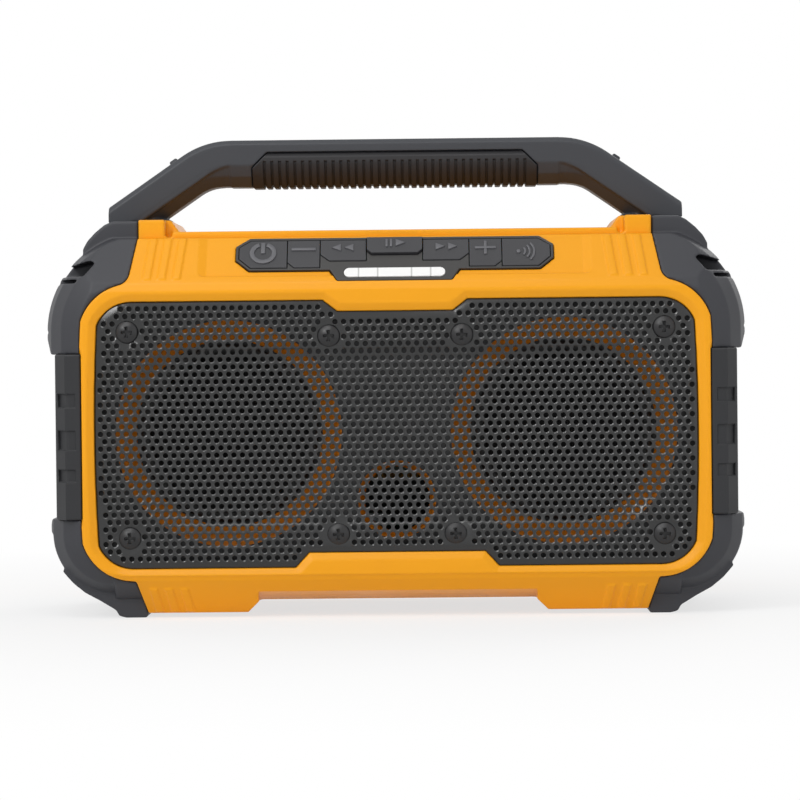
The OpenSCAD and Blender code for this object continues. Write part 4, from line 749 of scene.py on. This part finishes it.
def draw_volume_up(bm):
    stroke(bm, 0, 2.4, 9.4, 1.3)
    for v in (2.4 + 2.2, 2.4 - 2.2):
        stroke(bm, 0, v, 1.3, 3.2)


def draw_pairing(bm):
    dot_u = -3.4
    bmesh.ops.create_cone(bm, cap_ends=True, segments=20, radius1=1.0, radius2=1.0, depth=MARK_H,
                          matrix=at_point(dot_u, 0))
    for radius in (3.0, 5.0, 7.0):
        arc(bm, dot_u, 0, radius - 0.5, radius + 0.5, -42, 84)


MARKS = {
    "power": draw_power, "volume_down": draw_volume_down, "previous": draw_previous, "play": draw_play,
    "next": draw_next, "volume_up": draw_volume_up, "pairing": draw_pairing,
}
print(len(MARKS), "marks to draw")

# %% Marks on their keys
# Height of a mark's middle over its key, and the roll of its edges, in mm
MARK_RISE, MARK_ROLL = 0.15, 0.25
# Corners within this of the highest are on the key's top face
TOP_FACE_MM = 0.05
# Least angle in radians of an edge that is rolled
MARK_SHARP = 0.6
# The marks are the keys' own silicone, painted a shade paler as a painted highlight, and a little glossier
MARK_PAINTED_HIGHLIGHT = moulded("silicone_painted_paler", "#545458", "#5A5A5E", 0.42, 0.8, 0.02)

into_key = Vector(next(j["axis"] for j in frame["joints"] if j["name"] == "power_press"))
normal = -into_key.normalized()
rise = normal.cross(Vector((1, 0, 0))).normalized()
turned = Matrix((Vector((1, 0, 0)), rise, normal)).transposed().to_4x4()
for name, draw in MARKS.items():
    corners = [v.co for v in frame["nodes"][name + "_key"].data.vertices]
    height = max(c.dot(normal) for c in corners)
    top = [c for c in corners if c.dot(normal) > height - TOP_FACE_MM * MM]
    u = (min(c.x for c in top) + max(c.x for c in top)) / 2
    v = (min(c.dot(rise) for c in top) + max(c.dot(rise) for c in top)) / 2
    bm = bmesh.new()
    draw(bm)
    bmesh.ops.remove_doubles(bm, verts=bm.verts, dist=0.001)
    bmesh.ops.recalc_face_normals(bm, faces=bm.faces)
    lips = [e for e in bm.edges if e.calc_face_angle(0) > MARK_SHARP and all(w.co.z > 0 for w in e.verts)]
    bmesh.ops.bevel(bm, geom=lips, offset=MARK_ROLL, segments=2, profile=0.5, affect="EDGES", material=-1)
    place = Matrix.Translation(Vector((u, 0, 0)) + rise * v + normal * (height + MARK_RISE * MM)) @ turned
    bmesh.ops.transform(bm, matrix=place @ Matrix.Scale(MM, 4), verts=bm.verts)
    mark = finish_piece(name + "_mark", bm, "key_rubber", name + "_key_body")
    # The mark takes the paler silicone: a painted highlight on the key's own colour
    mark.data.materials[0] = MARK_PAINTED_HIGHLIGHT
print("seven marks")

# %% [markdown]
# ## Stage
# The speaker stands on white paper under plain soft lamps: one above and to the left, one high in
# front, a weak one at the right, a low strip that lifts the underside, and one behind for the back. The
# strip stands where the camera does, so it is kept out of reflections, which would grey the whole grille.
# The paper is bright white away from the speaker and keeps its shadow near it.

# %% Lamps
# The point that the lamps face, in metres
LAMP_TARGET = Vector((0, 0, 0.1))


def lamp(name, place, size, watts):
    """A soft rectangular lamp, with its place and size in metres."""
    data = bpy.data.lights.new(name, "AREA")
    data.shape = "RECTANGLE"
    data.size, data.size_y = size
    data.energy = watts
    obj = bpy.data.objects.new(name, data)
    bpy.context.scene.collection.objects.link(obj)
    aim = LAMP_TARGET - Vector(place)
    obj.matrix_world = Matrix.Translation(place) @ aim.to_track_quat("-Z", "Y").to_matrix().to_4x4()
    return obj


lamp("key_lamp", (-0.9, -1.2, 1.1), (0.6, 0.5), 9.2)
lamp("fill_lamp", (1.4, -1.0, 0.6), (0.9, 1.2), 1.2)
lamp("low_lamp", (-0.2, -1.5, 0.12), (1.6, 0.2), 3).visible_glossy = False
lamp("top_lamp", (-0.2, -0.8, 1.5), (0.9, 0.5), 5.5)
lamp("back_lamp", (0.7, 1.4, 1.0), (1.0, 0.8), 7)
print("five lamps")

# %% Floor and world
# Half width of the floor, and the distances between which its shadow fades to plain white, in metres
FLOOR_HALF = 4
SHADOW_NEAR, SHADOW_FAR = 0.15, 0.5
# Share of plain white that covers the shadow close to the speaker
SHADOW_VEIL = 0.7
# Strength of the light that comes from all round
WORLD_LIGHT = 0.42


def background_rays(tree):
    """Is 1 for the rays that see plain white: the camera's, and those that gloss and glass send on."""
    rays = add_node(tree, "ShaderNodeLightPath").outputs
    seen = add_node(tree, "ShaderNodeMath", {0: rays["Is Camera Ray"], 1: rays["Is Glossy Ray"]},
                    operation="MAXIMUM")
    seen = add_node(tree, "ShaderNodeMath", {0: seen.outputs[0], 1: rays["Is Transmission Ray"]},
                    operation="MAXIMUM")
    return seen.outputs[0]


bm = bmesh.new()
bmesh.ops.create_grid(bm, x_segments=1, y_segments=1, size=FLOOR_HALF)
floor_mesh = bpy.data.meshes.new("floor")
bm.to_mesh(floor_mesh)
bm.free()
floor = bpy.data.objects.new("floor", floor_mesh)
bpy.context.scene.collection.objects.link(floor)
material, tree, paper, place = new_material("white_paper_sweep")
away = add_node(tree, "ShaderNodeVectorMath", {0: place}, operation="LENGTH").outputs["Value"]
fade = add_node(tree, "ShaderNodeMapRange", {"Value": away, "From Min": SHADOW_NEAR, "From Max": SHADOW_FAR,
                                             "To Min": SHADOW_VEIL, "To Max": 1.0})
veil = add_node(tree, "ShaderNodeMath", {0: background_rays(tree), 1: fade.outputs["Result"]},
                operation="MULTIPLY")
paper.inputs["Base Color"].default_value = colour("#F4F4F4")
paper.inputs["Roughness"].default_value = 0.9
glow = add_node(tree, "ShaderNodeEmission", {"Color": (1, 1, 1, 1), "Strength": 1})
mix = add_node(tree, "ShaderNodeMixShader", {0: veil.outputs[0], 1: paper.outputs[0], 2: glow.outputs[0]})
tree.links.new(mix.outputs[0], tree.nodes["Material Output"].inputs["Surface"])
floor_mesh.materials.append(material)

world = bpy.data.worlds.new("studio")
bpy.context.scene.world = world
world.use_nodes = True
tree = world.node_tree
strength = add_node(tree, "ShaderNodeMapRange", {"Value": background_rays(tree), "To Min": WORLD_LIGHT,
                                                 "To Max": 1.0})
tree.nodes["Background"].inputs["Color"].default_value = (1, 1, 1, 1)
tree.links.new(strength.outputs["Result"], tree.nodes["Background"].inputs["Strength"])
print("stage set")
